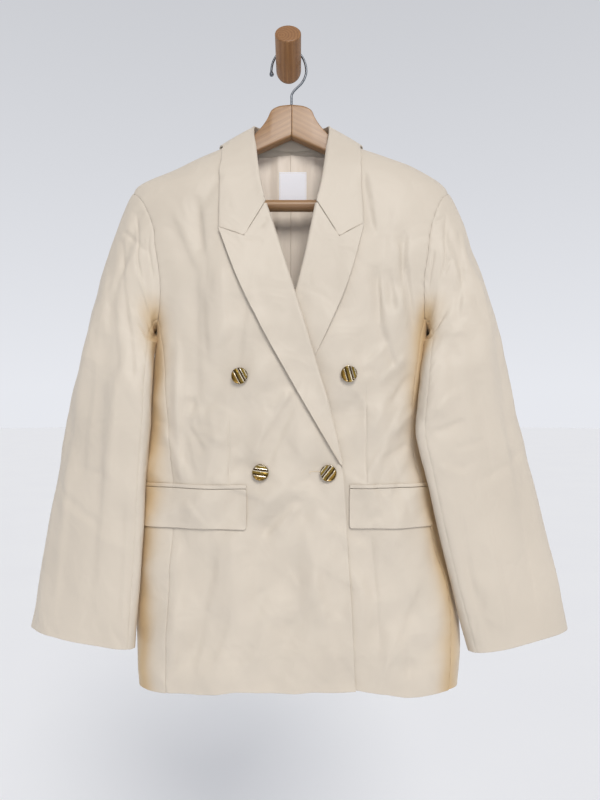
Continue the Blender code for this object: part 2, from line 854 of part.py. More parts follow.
def make_lapel(name, side):
    """The facing: behind the front's edge, round the roll line and out to the free edge."""
    gap_below, gap_above = -CLOTH - SEAM, SEAM
    legs = [1.0, 0.5, 0.12]
    shares = [0.1, 0.28, 0.44, GORGE_SHARE, 0.72, 0.87, 1.0]
    low, high = ROLL_SHARES
    panel_rows = [row for row in SEAM_ROWS + ARMHOLE_ROWS if low < row <= high]
    rows = [0.0] + [(row - low) / (high - low) for row in panel_rows]
    rows = sorted(rows + [0.97, 0.985])

    def lift(u, z):
        start, end = UNDER_LIFTS
        proud = 1.0 if side < 0 else ease((z - start) / (end - start))
        return LAPEL_LIFT * u * u * proud

    outer, inner = [], []
    for v in rows:
        start = roll_point(side, v)
        step = 0.01
        along = unit(roll_point(side, min(v + step, 1)) - roll_point(side, max(v - step, 0)))
        across = np.array((along[1], -along[0])) * side
        width = FACING * (FACING_START + (1 - FACING_START) * ease(v / FACING_RUN))
        outside, inside = [], []
        for leg in legs:
            x, z = start + across * width * leg
            outside.append(front(side, x, z, gap_below - LAPEL_CLOTH))
            inside.append(front(side, x, z, gap_below))
        for across_out, out_out, across_in, out_in in fold_section(gap_below, gap_above, LAPEL_CLOTH):
            x, z = start + across * across_out
            outside.append(front(side, x, z, out_out))
            x, z = start + across * across_in
            inside.append(front(side, x, z, out_in))
        for u in shares:
            x, z = lapel_place(side, u, v)
            outside.append(front(side, x, z, gap_above + LAPEL_CLOTH + lift(u, z)))
            inside.append(front(side, x, z, gap_above + lift(u, z)))
        outer.append(outside)
        inner.append(inside)
    return wall_between(name, outer, inner, "cotton_sateen")


collar_fold = smooth(COLLAR_FOLD)
collar_edges = {side: mirrored(COLLAR_EDGE, side) for side in (-1, 1)}


def collar_lines(side, place):
    """The neck seam, the fold and the free edge of the collar at a place along it."""
    neck = torso(*necks[side](place), -CLOTH / 2)
    half, y, z = collar_fold(place)
    fold = np.array((BODY_CENTRE + side * half, y, z))
    angle, height = collar_edges[side](place)
    return neck, fold, (angle, height + collar_tilt(side, place))


def collar_tilt(side, place):
    return COLLAR_END_TILT * ease((place - TILT_START) / (1 - TILT_START)) * side


def collar_fall(side, place, share):
    """A point of the collar's fall, from beside the fold (0) to the free edge (1)."""
    neck, fold, (angle, height) = collar_lines(side, place)
    stand_off = LAID_GAP + COLLAR_CLOTH / 2 + COLLAR_LIFT * share**2
    edge = torso(angle, height, stand_off)
    aside = unit(edge - fold) * COLLAR_FOLD_RADIUS
    start = fold + aside
    hung = start + (edge - start) * share
    hung = hung + unit(start + edge - 2 * neck) * FALL_BULGE * math.sin(math.pi * share)
    first, last = COLLAR_LAID
    laid = ease((place - first) / (last - first))
    if laid == 0:
        return hung
    edge_place = surface_place(angle, height)
    start_place = np.array((start[0], start[2]))
    spot = start_place + (edge_place - start_place) * share
    end_row = max((place - 1 + COLLAR_TURN) / COLLAR_TURN, 0.0) ** TURN_POWER
    if end_row:
        start_row = np.array((roll_point(side, 1.0)[0] + side * COLLAR_FOLD_RADIUS, GORGE_TOP))
        end_place = surface_place(*collar_edges[side](1.0)) + np.array((0, collar_tilt(side, 1.0)))
        straight = start_row + (end_place - start_row) * share
        spot = spot + (lapel_top(side, share) + np.array((0, COLLAR_END_GAP)) - straight) * end_row
    return hung + (front(side, *spot, stand_off) - hung) * laid


def make_collar():
    """One band: the stand up from the neck seam, over the fold and down to the free edge."""
    stations = [(-1, place) for place in COLLAR_PLACES]
    stations += [(1, place) for place in COLLAR_PLACES[-2::-1]]
    shares = [0.12, 0.28, 0.44, GORGE_SHARE, 0.72, 0.86, 1.0]
    outer, inner = [], []
    for side, place in stations:
        neck, fold, _ = collar_lines(side, place)
        stand = unit(fold - neck)
        fall_start = collar_fall(side, place, 0.0)
        fall = unit(collar_fall(side, place, 0.3) - fall_start)
        path = unit(np.cross(stand, fall))
        tall = float(np.linalg.norm(fold - neck))
        line = [neck + stand * min(STAND_START, 0.5 * tall)]
        below, most = FOLD_BELOW
        line += [neck + stand * STAND_MIDDLE * tall, fold - stand * min(below, most * tall)]
        across = unit(np.cross(path, stand)) * (-1 if np.cross(path, stand) @ fall < 0 else 1)
        line.append(fold + stand * FOLD_OVER[0] + across * FOLD_OVER[1])
        line.append(fall_start + stand * FOLD_BESIDE[0] + across * FOLD_BESIDE[1])
        line += [collar_fall(side, place, share) for share in shares]
        half = COLLAR_CLOTH / 2
        outside, inside = [], []
        for index, point in enumerate(line):
            run = unit(line[min(index + 1, len(line) - 1)] - line[max(index - 1, 0)])
            normal = unit(np.cross(run, path))
            outside.append(point + normal * half)
            inside.append(point - normal * half)
        outer.append(outside)
        inner.append(inside)
    return wall_between("collar", outer, inner, "cotton_sateen")


# Sleeves ---------------------------------------------------------------------------------


sleeve_rings = {}
for which_side, ring_rows in ((-1, OVER_SLEEVE), (1, UNDER_SLEEVE)):
    last_ring = len(ring_rows) - 1
    sleeve_rings[which_side] = smooth(
        [(number / last_ring, *sizes) for number, sizes in enumerate(ring_rows)]
    )


def sleeve_ring(side, turn, share):
    """A point of the free sleeve: turn 0 is its outer edge, 0.25 its front, 0.5 its inner edge."""
    sizes = sleeve_rings[side](share)
    outer_edge, inner_edge, half_depth = sizes[:3], sizes[3:6], sizes[6]
    middle, across = (outer_edge + inner_edge) / 2, (outer_edge - inner_edge) / 2
    below = sleeve_rings[side](min(share + 0.01, 1.0))
    above = sleeve_rings[side](max(share - 0.01, 0.0))
    down = unit(below[:3] + below[3:6] - above[:3] - above[3:6])
    forward = unit(np.cross(across, down)) * -side
    if forward[1] > 0:
        forward = -forward
    angle = 2 * math.pi * turn
    wide = power(math.cos(angle), 2 / SLEEVE_ROUNDNESS)
    deep = power(math.sin(angle), 2 / SLEEVE_ROUNDNESS)
    return middle + across * wide + forward * half_depth * deep


def armhole_leave(side, turn):
    """The way in which the sleeve leaves its armhole."""
    over = max(math.cos(2 * math.pi * turn), 0.0)
    under = max(-math.cos(2 * math.pi * turn), 0.0)
    ahead = math.sin(2 * math.pi * turn)
    down = LEAVE_SHOULDER * over + LEAVE_UNDERARM * under
    return unit(np.array((side, -LEAVE_AHEAD * ahead, -down)))


def sleeve_fold_rise(side, turn, share):
    rise = 0.0
    for which, turn0, share0, turn1, share1, half_width, height in SLEEVE_FOLDS:
        if which != side:
            continue
        along = (share - share0) / (share1 - share0)
        off = turn - (turn0 + (turn1 - turn0) * min(max(along, 0.0), 1.0))
        off = (off + 0.5) % 1.0 - 0.5
        fade = ease((along + 0.1) / 0.35) * ease((1.1 - along) / 0.35)
        rise += height * fade * math.exp(-((off / half_width) ** 2))
    return rise


def sleeve_skin(side, turn, share):
    """A point of the sleeve's face: share 0 at the armhole, 1 at the cuff."""
    if share >= SLEEVE_HEAD_SHARE:
        return sleeve_ring(side, turn, (share - SLEEVE_HEAD_SHARE) / (1 - SLEEVE_HEAD_SHARE))
    t = share / SLEEVE_HEAD_SHARE
    start = torso(*armholes[side](turn % 1.0))
    leave = armhole_leave(side, turn)
    start = start + leave * SLEEVE_START
    end = sleeve_ring(side, turn, 0.0)
    arrive = unit(sleeve_ring(side, turn, 0.05) - end)
    reach = float(np.linalg.norm(end - start))
    over = max(math.cos(2 * math.pi * turn), 0.0)
    return (
        start * (1 + 2 * t) * (1 - t) ** 2
        + end * t * t * (3 - 2 * t)
        + leave * reach * (HEAD_LEAVES - HEAD_LEAVES_LESS * over) * t * (1 - t) ** 2
        - arrive * reach * (HEAD_MEETS - HEAD_MEETS_LESS * over) * t * t * (1 - t)
    )


def sleeve_point(side, turn, share, out):
    step = 1e-3
    here = sleeve_skin(side, turn, share)
    around = sleeve_skin(side, turn + step, share) - sleeve_skin(side, turn - step, share)
    low, high = min(share + step, 1.0), max(share - step, 0.0)
    along = sleeve_skin(side, turn, low) - sleeve_skin(side, turn, high)
    normal = unit(np.cross(around, along)) * side
    return here + normal * (out + sleeve_fold_rise(side, turn, share))


SLEEVE_ROWS = [0.0, 0.04, 0.09, 0.15, 0.22, 0.3, 0.37, 0.44, 0.52, 0.61, 0.7, 0.79, 0.88, 0.95, 1.0]


def make_sleeve(name, side, turns):
    """A part of a sleeve between two of its seams, at the turns that the armhole's pieces use."""
    first, last = turns[0] + SLEEVE_SEAM_GAP, turns[-1] - SLEEVE_SEAM_GAP

    def place(turn, v, out):
        return sleeve_point(side, min(max(turn, first), last), v, out)

    return cloth(name, place, SLEEVE_ROWS, turns)


def sleeve_turns():
    """Turns of the top and of the under sleeve, one for each point round the armhole."""
    ahead = [front_armhole_share(row) for row in ARMHOLE_ROWS]
    behind = [back_armhole_share(row) for row in ARMHOLE_ROWS]
    below = [SEAM_ENDS[0] + (SEAM_ENDS[1] - SEAM_ENDS[0]) * column for column in SIDE_COLUMNS]
    hind_seam = ARMHOLE_ROWS.index(0.87)
    top = [turn - 1 for turn in behind[hind_seam:-1]] + ahead[::-1]
    under = below + behind[1 : hind_seam + 1]
    return top, under


# Pockets, lining, label ------------------------------------------------------------------


def make_strip(name, side, ends, bottom, top, base, thickness, corner=0.0, lift=0.0):
    """A flat strip on a front, with rounded lower corners."""
    start, end = ends
    width = end - start

    def place(u, v, out):
        x = start + width * u
        reach = min(x - start, end - x)
        rounding = 0.0
        if corner and reach < corner:
            rounding = corner - math.sqrt(max(corner**2 - (corner - reach) ** 2, 0.0))
        low = bottom + rounding
        z = low + (top - low) * v
        return front(side, x, z, out + lift * (1 - v) ** 2)

    inset = corner / width if corner else 0.05
    columns = [0.0, inset * 0.3, inset, 0.06, 0.12, 0.2, 0.35]
    columns += [0.5] + [1 - column for column in reversed(columns)]
    rows = even(4) if corner else even(2)
    return cloth(name, place, rows, columns, base + thickness, thickness)


def make_lining():
    def place(u, v, out):
        x = BODY_CENTRE + LINING_SIDE * (2 * u - 1) * (1 - 0.55 * ease((v - 0.8) / 0.2))
        top = LINING_TOP - 3.0 * abs(2 * u - 1)
        z = LINING_BOTTOM + (top - LINING_BOTTOM) * v
        return back(x, z, out)

    rows = [0.0, 0.12, 0.25, 0.38, 0.5, 0.62, 0.74, 0.82, 0.88, 0.93, 0.97, 1.0]
    return cloth(
        "lining_back", place, rows, even(11), -CLOTH - LINING_GAP, LINING, "lining_satin"
    )


def make_label():
    def place(u, v, out):
        x = LABEL_CENTRE[0] + LABEL_SIZE[0] * (u - 0.5)
        z = LABEL_CENTRE[1] + LABEL_SIZE[1] * (v - 0.5)
        return back(x, z, out)

    base = -CLOTH - LINING_GAP - LINING - SEAM
    return cloth("neck_label", place, even(4), even(4), base, LINING, "label_tape")


# Buttons, hanger and peg -----------------------------------------------------------------


def make_button(name, x, z):
    side = -1 if name != "button_upper_left" else 1
    base = front(side, x, z)
    normal = unit(front(side, x, z, 1.0) - base)
    shape = bmesh.new()
    ring = [shape.verts.new((radius * MM, 0, height * MM)) for radius, height in BUTTON_PROFILE]
    edges = [shape.edges.new(pair) for pair in zip(ring, ring[1:])]
    bmesh.ops.spin(
        shape,
        geom=ring + edges,
        cent=(0, 0, 0),
        axis=(0, 0, 1),
        angle=2 * math.pi,
        steps=20,
        use_merge=True,
    )
    bmesh.ops.remove_doubles(shape, verts=shape.verts, dist=1e-5)
    button = finish_mesh(name, shape, "gilt_metal")
    facing = Vector(normal).to_track_quat("Z", "Y").to_matrix().to_4x4()
    button.matrix_world = Matrix.Translation(millimetres([base])[0]) @ facing
    return button


def leaned(x, z, ahead=0.0):
    """A point of the hanger's middle plane, which leans out below the hook's contact."""
    drop = hook_top() - z
    y = HOOK_Y - math.tan(HANGER_LEAN) * drop
    return np.array((x, y - ahead, z))


def hook_top():
    """Height of the wire's middle where it rests on the slanted peg."""
    surface = -HOOK_Y * math.tan(PEG_TILT) + PEG_RADIUS / math.cos(PEG_TILT)
    return surface + (WIRE / 2 + 1.5 * SEAM) / math.cos(PEG_TILT)


def make_hook():
    centre_x, centre_z = HOOK_CENTRE
    rise = hook_top() - centre_z
    points = []
    for step in range(25):
        turn = math.radians(196 - 196 * step / 24)
        height = rise if math.sin(turn) > 0 else HOOK_RADIUS
        points.append((centre_x + HOOK_RADIUS * math.cos(turn), centre_z + height * math.sin(turn)))
    neck = BODY_CENTRE - 0.2
    points += [(22.6, -17.5), (18.4, -25.5), (12.0, -32.5), (6.8, -38.5), (neck, -45.0)]
    points.append((neck, HANGER_TOP + SEAM + 0.2))
    curve = bpy.data.curves.new("hanger_hook", "CURVE")
    curve.dimensions = "3D"
    curve.bevel_depth = WIRE / 2 * MM
    curve.bevel_resolution = 2
    curve.use_fill_caps = True
    spline = curve.splines.new("POLY")
    spline.points.add(len(points) - 1)
    for spot, (x, z) in zip(spline.points, points):
        spot.co = (*millimetres([leaned(x, z)])[0], 1.0)
    hook = bpy.data.objects.new("hanger_hook", curve)
    curve.materials.append(material_named("steel_wire"))
    blazer_collection.objects.link(hook)
    return hook


def make_hanger_body():
    half = [(BODY_CENTRE - 0.2 + x, z) for x, z in HANGER_OUTLINE]
    other = [(BODY_CENTRE - 0.2 - x, z) for x, z in reversed(HANGER_OUTLINE[1:-1])]
    outline = half + other
    shape = bmesh.new()
    rings = []
    for ahead in (BOARD / 2, -BOARD / 2):
        points = millimetres(leaned(x, z, ahead) for x, z in outline)
        rings.append([shape.verts.new(point) for point in points])
    shape.faces.new(rings[0])
    shape.faces.new(reversed(rings[1]))
    for index in range(len(outline)):
        following = (index + 1) % len(outline)
        corners = (rings[0][following], rings[0][index], rings[1][index], rings[1][following])
        shape.faces.new(corners)
    hanger = finish_mesh("hanger_body", shape, "beech")
    rounding = hanger.modifiers.new("rounding", "BEVEL")
    rounding.width = BOARD_ROUNDING * MM
    rounding.segments = 3
    rounding.limit_method = "ANGLE"
    rounding.angle_limit = math.radians(50)
    return hanger


def make_rod(start, end, radius, sides=20, rounding=0.0):
    """A dowel between two points, its far end rounded."""
    start, end = millimetres([start, end])
    run = end - start
    turn = run.to_track_quat("Z", "Y").to_matrix().to_4x4()
    shape = bmesh.new()
    bmesh.ops.create_cone(
        shape,
        cap_ends=True,
        segments=sides,
        radius1=radius * MM,
        radius2=radius * MM,
        depth=run.length,
        matrix=Matrix.Translation((start + end) / 2) @ turn,
    )
    if rounding:
        rim = [
            edge
            for edge in shape.edges
            if all((vert.co - end).length < radius * MM * 1.01 for vert in edge.verts)
        ]
        bmesh.ops.bevel(
            shape, geom=rim, offset=rounding * MM, segments=3, affect="EDGES", profile=0.5
        )
    return shape


def make_bar():
    middle = BODY_CENTRE - 0.2
    end = BAR_END - SEAM
    ends = [leaned(middle + side * end, BAR_HEIGHT) for side in (-1, 1)]
    shape = make_rod(*ends, BAR_RADIUS)
    return finish_mesh("hanger_bar", shape, "beech")


def make_peg():
    way = np.array((0.0, -math.cos(PEG_TILT), math.sin(PEG_TILT)))
    shape = make_rod(-way * PEG_RADIUS, way * PEG_LENGTH, PEG_RADIUS, 32, PEG_ROUNDING)
    everything = list(shape.verts) + list(shape.edges) + list(shape.faces)
    bmesh.ops.bisect_plane(
        shape, geom=everything, plane_co=(0, 0, 0), plane_no=(0, 1, 0), clear_outer=True
    )
    open_rim = [edge for edge in shape.edges if edge.is_boundary]
    bmesh.ops.holes_fill(shape, edges=open_rim)
    return finish_mesh("wall_peg", shape, "oiled_wood")


# Build -----------------------------------------------------------------------------------

for existing in list(bpy.data.objects):
    bpy.data.objects.remove(existing, do_unlink=True)
blazer_collection = bpy.data.collections.new("double_breasted_blazer")
bpy.context.scene.collection.children.link(blazer_collection)

make_front("front_right", -1)
make_front("front_left", 1)
make_side("side_right", -1)
make_side("side_left", 1)
make_back("back_right", -1)
make_back("back_left", 1)
make_lapel("lapel_right", -1)
make_lapel("lapel_left", 1)
make_collar()
top_turns, under_turns = sleeve_turns()
for hand, sleeve_side in (("right", -1), ("left", 1)):
    make_sleeve(f"sleeve_top_{hand}", sleeve_side, top_turns)
    make_sleeve(f"sleeve_under_{hand}", sleeve_side, under_turns)
for hand, pocket_side in (("right", -1), ("left", 1)):
    make_strip(
        f"welt_{hand}", pocket_side, POCKETS[hand], WELT_BOTTOM, WELT_TOP, LAID_GAP, POCKET_CLOTH
    )
    make_strip(
        f"flap_{hand}",
        pocket_side,
        POCKETS[hand],
        FLAP_BOTTOM,
        FLAP_TOP,
        LAID_GAP,
        POCKET_CLOTH,
        FLAP_CORNER,
        FLAP_LIFT,
    )
for button_name, button_x, button_z in BUTTONS:
    make_button(button_name, button_x, button_z)
make_lining()
make_label()
make_hanger_body()
make_bar()
make_hook()
make_peg()
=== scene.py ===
"""The looks of a double breasted blazer on its hanger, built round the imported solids.

The tables and sizes are in millimetres and MM turns them into metres where a mesh is made.  +Z is
up, the wall is the plane Y = 0 and the blazer's front faces -Y.  The wearer's right is side -1,
which is on a viewer's left, and its front lies over the other one.

Cloth is made as grids of points on the torso's rings, so that every layer follows the one below
it.  Grids are arrays of rows by columns by X, Y, Z, and the functions of the shape take whole
arrays.
"""

import math
from functools import partial

import bmesh
import bpy
import numpy as np
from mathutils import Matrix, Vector


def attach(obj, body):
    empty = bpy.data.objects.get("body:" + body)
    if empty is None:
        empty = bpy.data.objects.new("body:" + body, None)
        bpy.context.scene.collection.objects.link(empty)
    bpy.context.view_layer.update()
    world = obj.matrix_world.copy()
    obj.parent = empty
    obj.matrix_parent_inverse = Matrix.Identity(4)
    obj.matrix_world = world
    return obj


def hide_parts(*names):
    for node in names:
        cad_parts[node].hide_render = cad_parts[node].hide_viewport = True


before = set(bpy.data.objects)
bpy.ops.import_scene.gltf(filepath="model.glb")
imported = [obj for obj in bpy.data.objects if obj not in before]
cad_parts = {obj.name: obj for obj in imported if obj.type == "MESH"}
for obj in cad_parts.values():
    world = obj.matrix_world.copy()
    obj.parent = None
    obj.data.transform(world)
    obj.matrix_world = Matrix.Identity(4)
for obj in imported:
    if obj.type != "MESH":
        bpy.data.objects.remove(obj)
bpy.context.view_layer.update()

MM = 0.001

# Cloth and clearances
CLOTH = 2.0  # cotton sateen with its fusing
LAPEL_CLOTH = 2.0
COLLAR_CLOTH = 2.4
LINING = 1.0
SEAM = 0.3  # between two pieces that are sewn together
LAID_GAP = 0.7  # under a piece that lies on another
ROUNDNESS = 2.8  # 2 is an ellipse, more is squarer
BODY_CENTRE = 4.5  # X of the neck's and the hanger's middle

# Rings of the torso's outer face: height, X of the wearer's right and left side, and
# Y of the sides, the front and the back
TORSO = (
    (-842, -195, 222, -53, -100, -4.5), (-785, -198, 226, -53, -102, -4.5),
    (-740, -199, 224, -54, -102, -4.5), (-660, -194, 206, -54, -101, -5),
    (-577, -190, 188, -54, -99, -6), (-513, -185, 174, -54, -97, -7),
    (-430, -178, 177, -54, -99, -6), (-372, -172, 183, -54, -99, -5),
    (-352, -181, 191, -53, -98, -5), (-330, -193, 200, -51, -97, -5),
    (-292, -205, 213, -48, -94, -5), (-250, -213, 221, -44, -89, -5.5),
    (-217, -213, 222, -41, -84, -6), (-185, -205.5, 213, -37, -76, -6.5),
    (-153, -149, 172, -31, -65, -7), (-125.5, -93, 101, -27, -54.4, -7),
    (-104.5, -57.5, 66.5, -24.5, -45, -7.5), (-96, -44, 52, -23.5, -41, -8),
)
SHOULDER_TOP = -104.5  # height of the shoulder seams' ends at the neck
SHOULDER_END = -185.0

# Soft folds of the front and back: face (1 front, -1 back), X and Z of both ends, half width
# and rise (a trough has a negative one)
FOLDS = (
    (1, -138, -395, -136, -560, 9, 2.2), (1, -116, -300, -112, -470, 14, -2.0),
    (1, 113, -300, 118, -372, 8, -2.4), (1, 118, -372, 136, -420, 7, -2.2),
    (1, 150, -250, 142, -330, 12, -2.5), (1, 100, -560, 150, -470, 10, 1.8),
    (1, 20, -620, 60, -800, 16, 1.6), (1, -90, -650, -120, -800, 16, -2.0),
    (1, 165, -690, 120, -800, 14, 2.2), (1, -20, -590, -100, -560, 12, 1.4),
    (1, -150, -230, -120, -300, 14, -1.8), (-1, -90, -170, -100, -420, 20, 1.6),
    (-1, 95, -170, 108, -430, 20, 1.6), (-1, -60, -480, -95, -800, 18, -1.6),
    (-1, 75, -470, 115, -810, 18, -1.6), (-1, 5, -520, 12, -800, 22, 1.6),
)

# Height of the front hem at X
HEM = (
    (-200, -837), (-153, -835), (-111, -834), (-60, -830), (86, -829), (120, -834), (150, -839),
    (180, -838), (226, -836),
)
SIDE_HEM = -836.0
BACK_HEM = -836.0
CENTRE_SEAM_DRIFT = 9.0  # how far the back's centre seam runs to the wearer's left at the hem

# How far the over front stands off where it covers the under front
OVER_LAPEL_RISE = 7.4
OVER_SKIRT_RISE = 3.2
OVER_RAMP = (-158, -72)  # X between which the rise grows
# Heights where the rise of the lapel's part and of the skirt's starts, and how soon it is whole
OVER_LAPEL_FALL, OVER_SKIRT_FALL = (-225, 95), (-552, 110)
GORGE_TOP = -213.0  # height where the roll lines start, at the collar

# Free edge of each front, from the hem along its front edge, roll line and neck: share of the
# height, X and Z
OVER_EDGE = (
    (0.00, 85.7, -829), (0.22, 76.5, -660), (0.36, 69.2, -556), (0.38, 67.0, -547),
    (0.46, 55.8, -494), (0.55, 39.5, -437), (0.64, 20.0, -372), (0.75, -2.2, -300),
    (0.82, -18.4, -247), (0.87, -29.5, -213),
)
UNDER_EDGE = (
    (0.00, -66.5, -829), (0.22, -57.3, -660), (0.36, -50.0, -556), (0.38, -47.8, -547),
    (0.46, -36.6, -494), (0.55, -20.3, -437), (0.64, -0.8, -372), (0.75, 19.7, -300),
    (0.82, 31.5, -247), (0.87, 38.5, -213),
)
EDGE_INSIDE_FOLD = 0.6  # how far a front stops short of its roll line, inside the lapel's fold

# Neck seam of each side: place along the collar (1 front end, 0 centre back), distance from
# the middle, Z, and the face it lies on (1 front, 0 shoulder, -1 back)
NECK = (
    (1.00, 36.0, -213.0, 1), (0.90, 50.0, -184.0, 1), (0.75, 57.5, -139.0, 1),
    (0.62, 61.0, -117.0, 1), (0.50, 62.0, -104.5, 0), (0.35, 49.0, -112.0, -1),
    (0.20, 28.0, -119.5, -1), (0.00, 0.0, -122.0, -1),
)
# The collar's fold: place, distance from the middle, Y, Z
COLLAR_FOLD = (
    (1.00, 34.0, -84.5, -211.4), (0.90, 40.5, -76.0, -183.0), (0.75, 47.5, -57.0, -135.0),
    (0.62, 51.0, -42.0, -106.0), (0.55, 51.5, -32.0, -94.5), (0.47, 49.0, -22.5, -91.0),
    (0.35, 40.0, -14.0, -90.5), (0.20, 24.0, -9.4, -91.5), (0.00, 0.0, -8.2, -92.0),
)
# The collar's free edge: place, distance from the middle, Z, face
COLLAR_EDGE = (
    (1.00, 92.5, -240.5, 1), (0.94, 92.3, -223.0, 1), (0.88, 92.0, -205.0, 1),
    (0.80, 91.8, -181.5, 1), (0.72, 91.6, -158.0, 1), (0.66, 91.5, -144.0, 1),
    (0.61, 91.5, -133.5, 1), (0.57, 91.5, -126.5, 1), (0.52, 91.0, -125.0, 0),
    (0.42, 84.0, -126.0, -1), (0.28, 60.0, -135.5, -1), (0.14, 31.0, -139.5, -1),
    (0.00, 0.0, -140.0, -1),
)
COLLAR_FOLD_RADIUS = 2.2
STAND_START = 2.9  # from the neck seam to the stand's lower edge
NECK_TURNING = 2.5  # how far the fronts stop short of the neck seam
FALL_BULGE = 2.0  # of the collar between its fold and its free edge
FALL_SHARES = (0.12, 0.28, 0.44, 0.58, 0.72, 0.86, 1.0)  # of that way, with the gorge's corner
COLLAR_LIFT = 0.8  # how proud the collar's free edge stands
COLLAR_END_GAP = 0.4  # between the collar's ends and the lapels, straight up
COLLAR_END_TILT = 3.5  # the wearer's right collar end hangs this much lower than the left
TILT_START = 0.6  # place along the collar where the tilt starts
COLLAR_LAID = (0.62, 0.74)  # places between which the collar comes to lie on the front
COLLAR_TURN = 0.2  # length of the collar's end whose rows turn to the gorge's line
# Section of the collar at its fold, along the stand and across it
STAND_MIDDLE = 0.65  # share of the stand's height
FOLD_BELOW = (0.5, 0.2)  # below the fold, and the most as a share of the stand's height
FOLD_OVER = (1.2, 0.5)
FOLD_BESIDE = (0.9, -0.3)

# Lapel outlines: share of the way up the roll line, X and Z of the free edge
OVER_LAPEL = (
    (0.00, 63.5, -541.0), (0.20, 29.0, -481.0), (0.42, -6.5, -419.4), (0.53, -23.3, -389.5),
    (0.78, -60.8, -314.9), (1.00, -87.4, -246.6),
)
UNDER_LAPEL = (
    (0.00, -43.0, -541.0), (0.20, -8.0, -481.0), (0.42, 28.5, -420.0), (0.53, 44.0, -389.5),
    (0.78, 77.5, -311.0), (1.00, 97.5, -240.5),
)
GORGE_CORNER = ((-54.4, -257.4), (65.3, -257.4))  # over, under
GORGE_SHARE = 0.58  # of the lapel's top that is gorge seam, the rest is the closed notch
LAPEL_LIFT = {-1: 4.2, 1: 4.6}  # how proud a lapel's free edge stands
FACING = 20.0  # width of the lapel's facing behind the front
FACING_LEGS = (1.0, 0.75, 0.5, 0.3, 0.12)  # shares of it that carry a row of points
FACING_START = 0.35  # share of that width at the lapel's lower end
FACING_RUN = 0.2  # share of the roll line over which the facing widens
LAPEL_TURN = 0.16  # share of the roll line over which a lapel's rows turn to the gorge's line
TURN_POWER = 1.6  # of that turn, and of the collar's
UNDER_LIFTS = (-405.0, -355.0)  # heights between which the under lapel comes to stand proud
NECK_BLEND = 0.02  # share of a front's height over which its edge turns into the neck seam
TURNING_FADE = 0.012  # the same for the neck turning at the shoulder
TUCK_ROWS = (0.37, 0.39)  # shares of a front's height between which its edge tucks into the fold

# Side seams, X at height, and armholes from the shoulder (0) down the front, under the arm
# (0.5) and up the back (1): share, X, Z, face
OVER_SEAM = (
    (-836, -154), (-740, -151), (-604, -145), (-550, -148), (-486, -151.5), (-437, -155.4),
    (-395, -161), (-360, -167),
)
UNDER_SEAM = (
    (-836, 208), (-740, 209), (-650, 191), (-577, 173), (-513, 162), (-470, 161), (-430, 163),
    (-395, 169), (-360, 178),
)
SEAM_TOP = -360.0
SEAM_ENDS = (0.44, 0.56)  # shares of the armhole where the front and back side seams meet it
BACK_SEAM_IN = (  # height, distance of the back side seams from the torso's side
    (-836, 62), (-600, 58), (-500, 46), (-430, 34), (-372, 22), (-352, 26),
)
BACK_SEAM_TOP = -352.0
OVER_ARMHOLE = (
    (0.00, -205.5, -185, 0), (0.06, -194.0, -199, 1), (0.13, -181.7, -219, 1),
    (0.21, -170.7, -254, 1), (0.30, -164.6, -296, 1), (0.37, -162.6, -327, 1),
    (0.44, -167.0, -360, 1), (0.50, -172.0, -372, 0), (0.56, -155.0, -352, -1),
    (0.63, -152.0, -324, -1), (0.71, -154.0, -290, -1), (0.80, -162.0, -250, -1),
    (0.89, -177.0, -215, -1), (0.95, -191.0, -197, -1), (1.00, -205.5, -185, 0),
)
UNDER_ARMHOLE = (
    (0.00, 213.0, -185, 0), (0.06, 202.0, -200, 1), (0.13, 191.5, -222, 1),
    (0.21, 182.5, -256, 1), (0.30, 176.6, -297, 1), (0.37, 175.0, -328, 1),
    (0.44, 178.0, -360, 1), (0.50, 183.0, -372, 0), (0.56, 165.0, -352, -1),
    (0.63, 162.0, -324, -1), (0.71, 164.0, -290, -1), (0.80, 172.0, -250, -1),
    (0.89, 186.0, -215, -1), (0.95, 199.5, -197, -1), (1.00, 213.0, -185, 0),
)

# Rings of the sleeves below the armhole: X, Y, Z of the outer and of the inner edge, and
# half the thickness
OVER_SLEEVE = (
    (-266, -49, -383, -171.5, -77, -392, 28), (-284, -46, -464, -173, -92, -468, 25),
    (-303, -46, -556, -180, -92, -563, 22), (-323, -46, -664, -186.5, -92, -674, 21),
    (-341, -46, -765, -193, -91, -778, 21),
)
UNDER_SLEEVE = (
    (279, -49, -383, 177.5, -77, -390, 29), (291, -47, -437, 169.5, -92, -440, 27),
    (303.5, -46, -488, 163.5, -97, -499, 24), (322, -46, -556, 175.5, -96, -560, 22),
    (347, -46, -664, 202, -91, -674, 21), (371, -46, -767, 231, -88, -784, 21),
)
SLEEVE_START = 0.12  # how far a sleeve starts outside its armhole
SLEEVE_ROUNDNESS = 2.2
# How a sleeve leaves its armhole: ahead, and down at the shoulder and at the underarm, all
# against 1 sideways
LEAVE_AHEAD, LEAVE_SHOULDER, LEAVE_UNDERARM = 0.12, 0.9, 0.4
# Pull of the sleeve head's curve where it leaves the armhole and where it meets the first
# ring, both as shares of its reach: all round, and how much less at the shoulder
HEAD_LEAVES, HEAD_LEAVES_LESS = 0.75, 0.42
HEAD_MEETS, HEAD_MEETS_LESS = 0.95, 0.35
SLEEVE_HEAD_SHARE = 0.42  # of a sleeve's rows that run from the armhole to its first ring

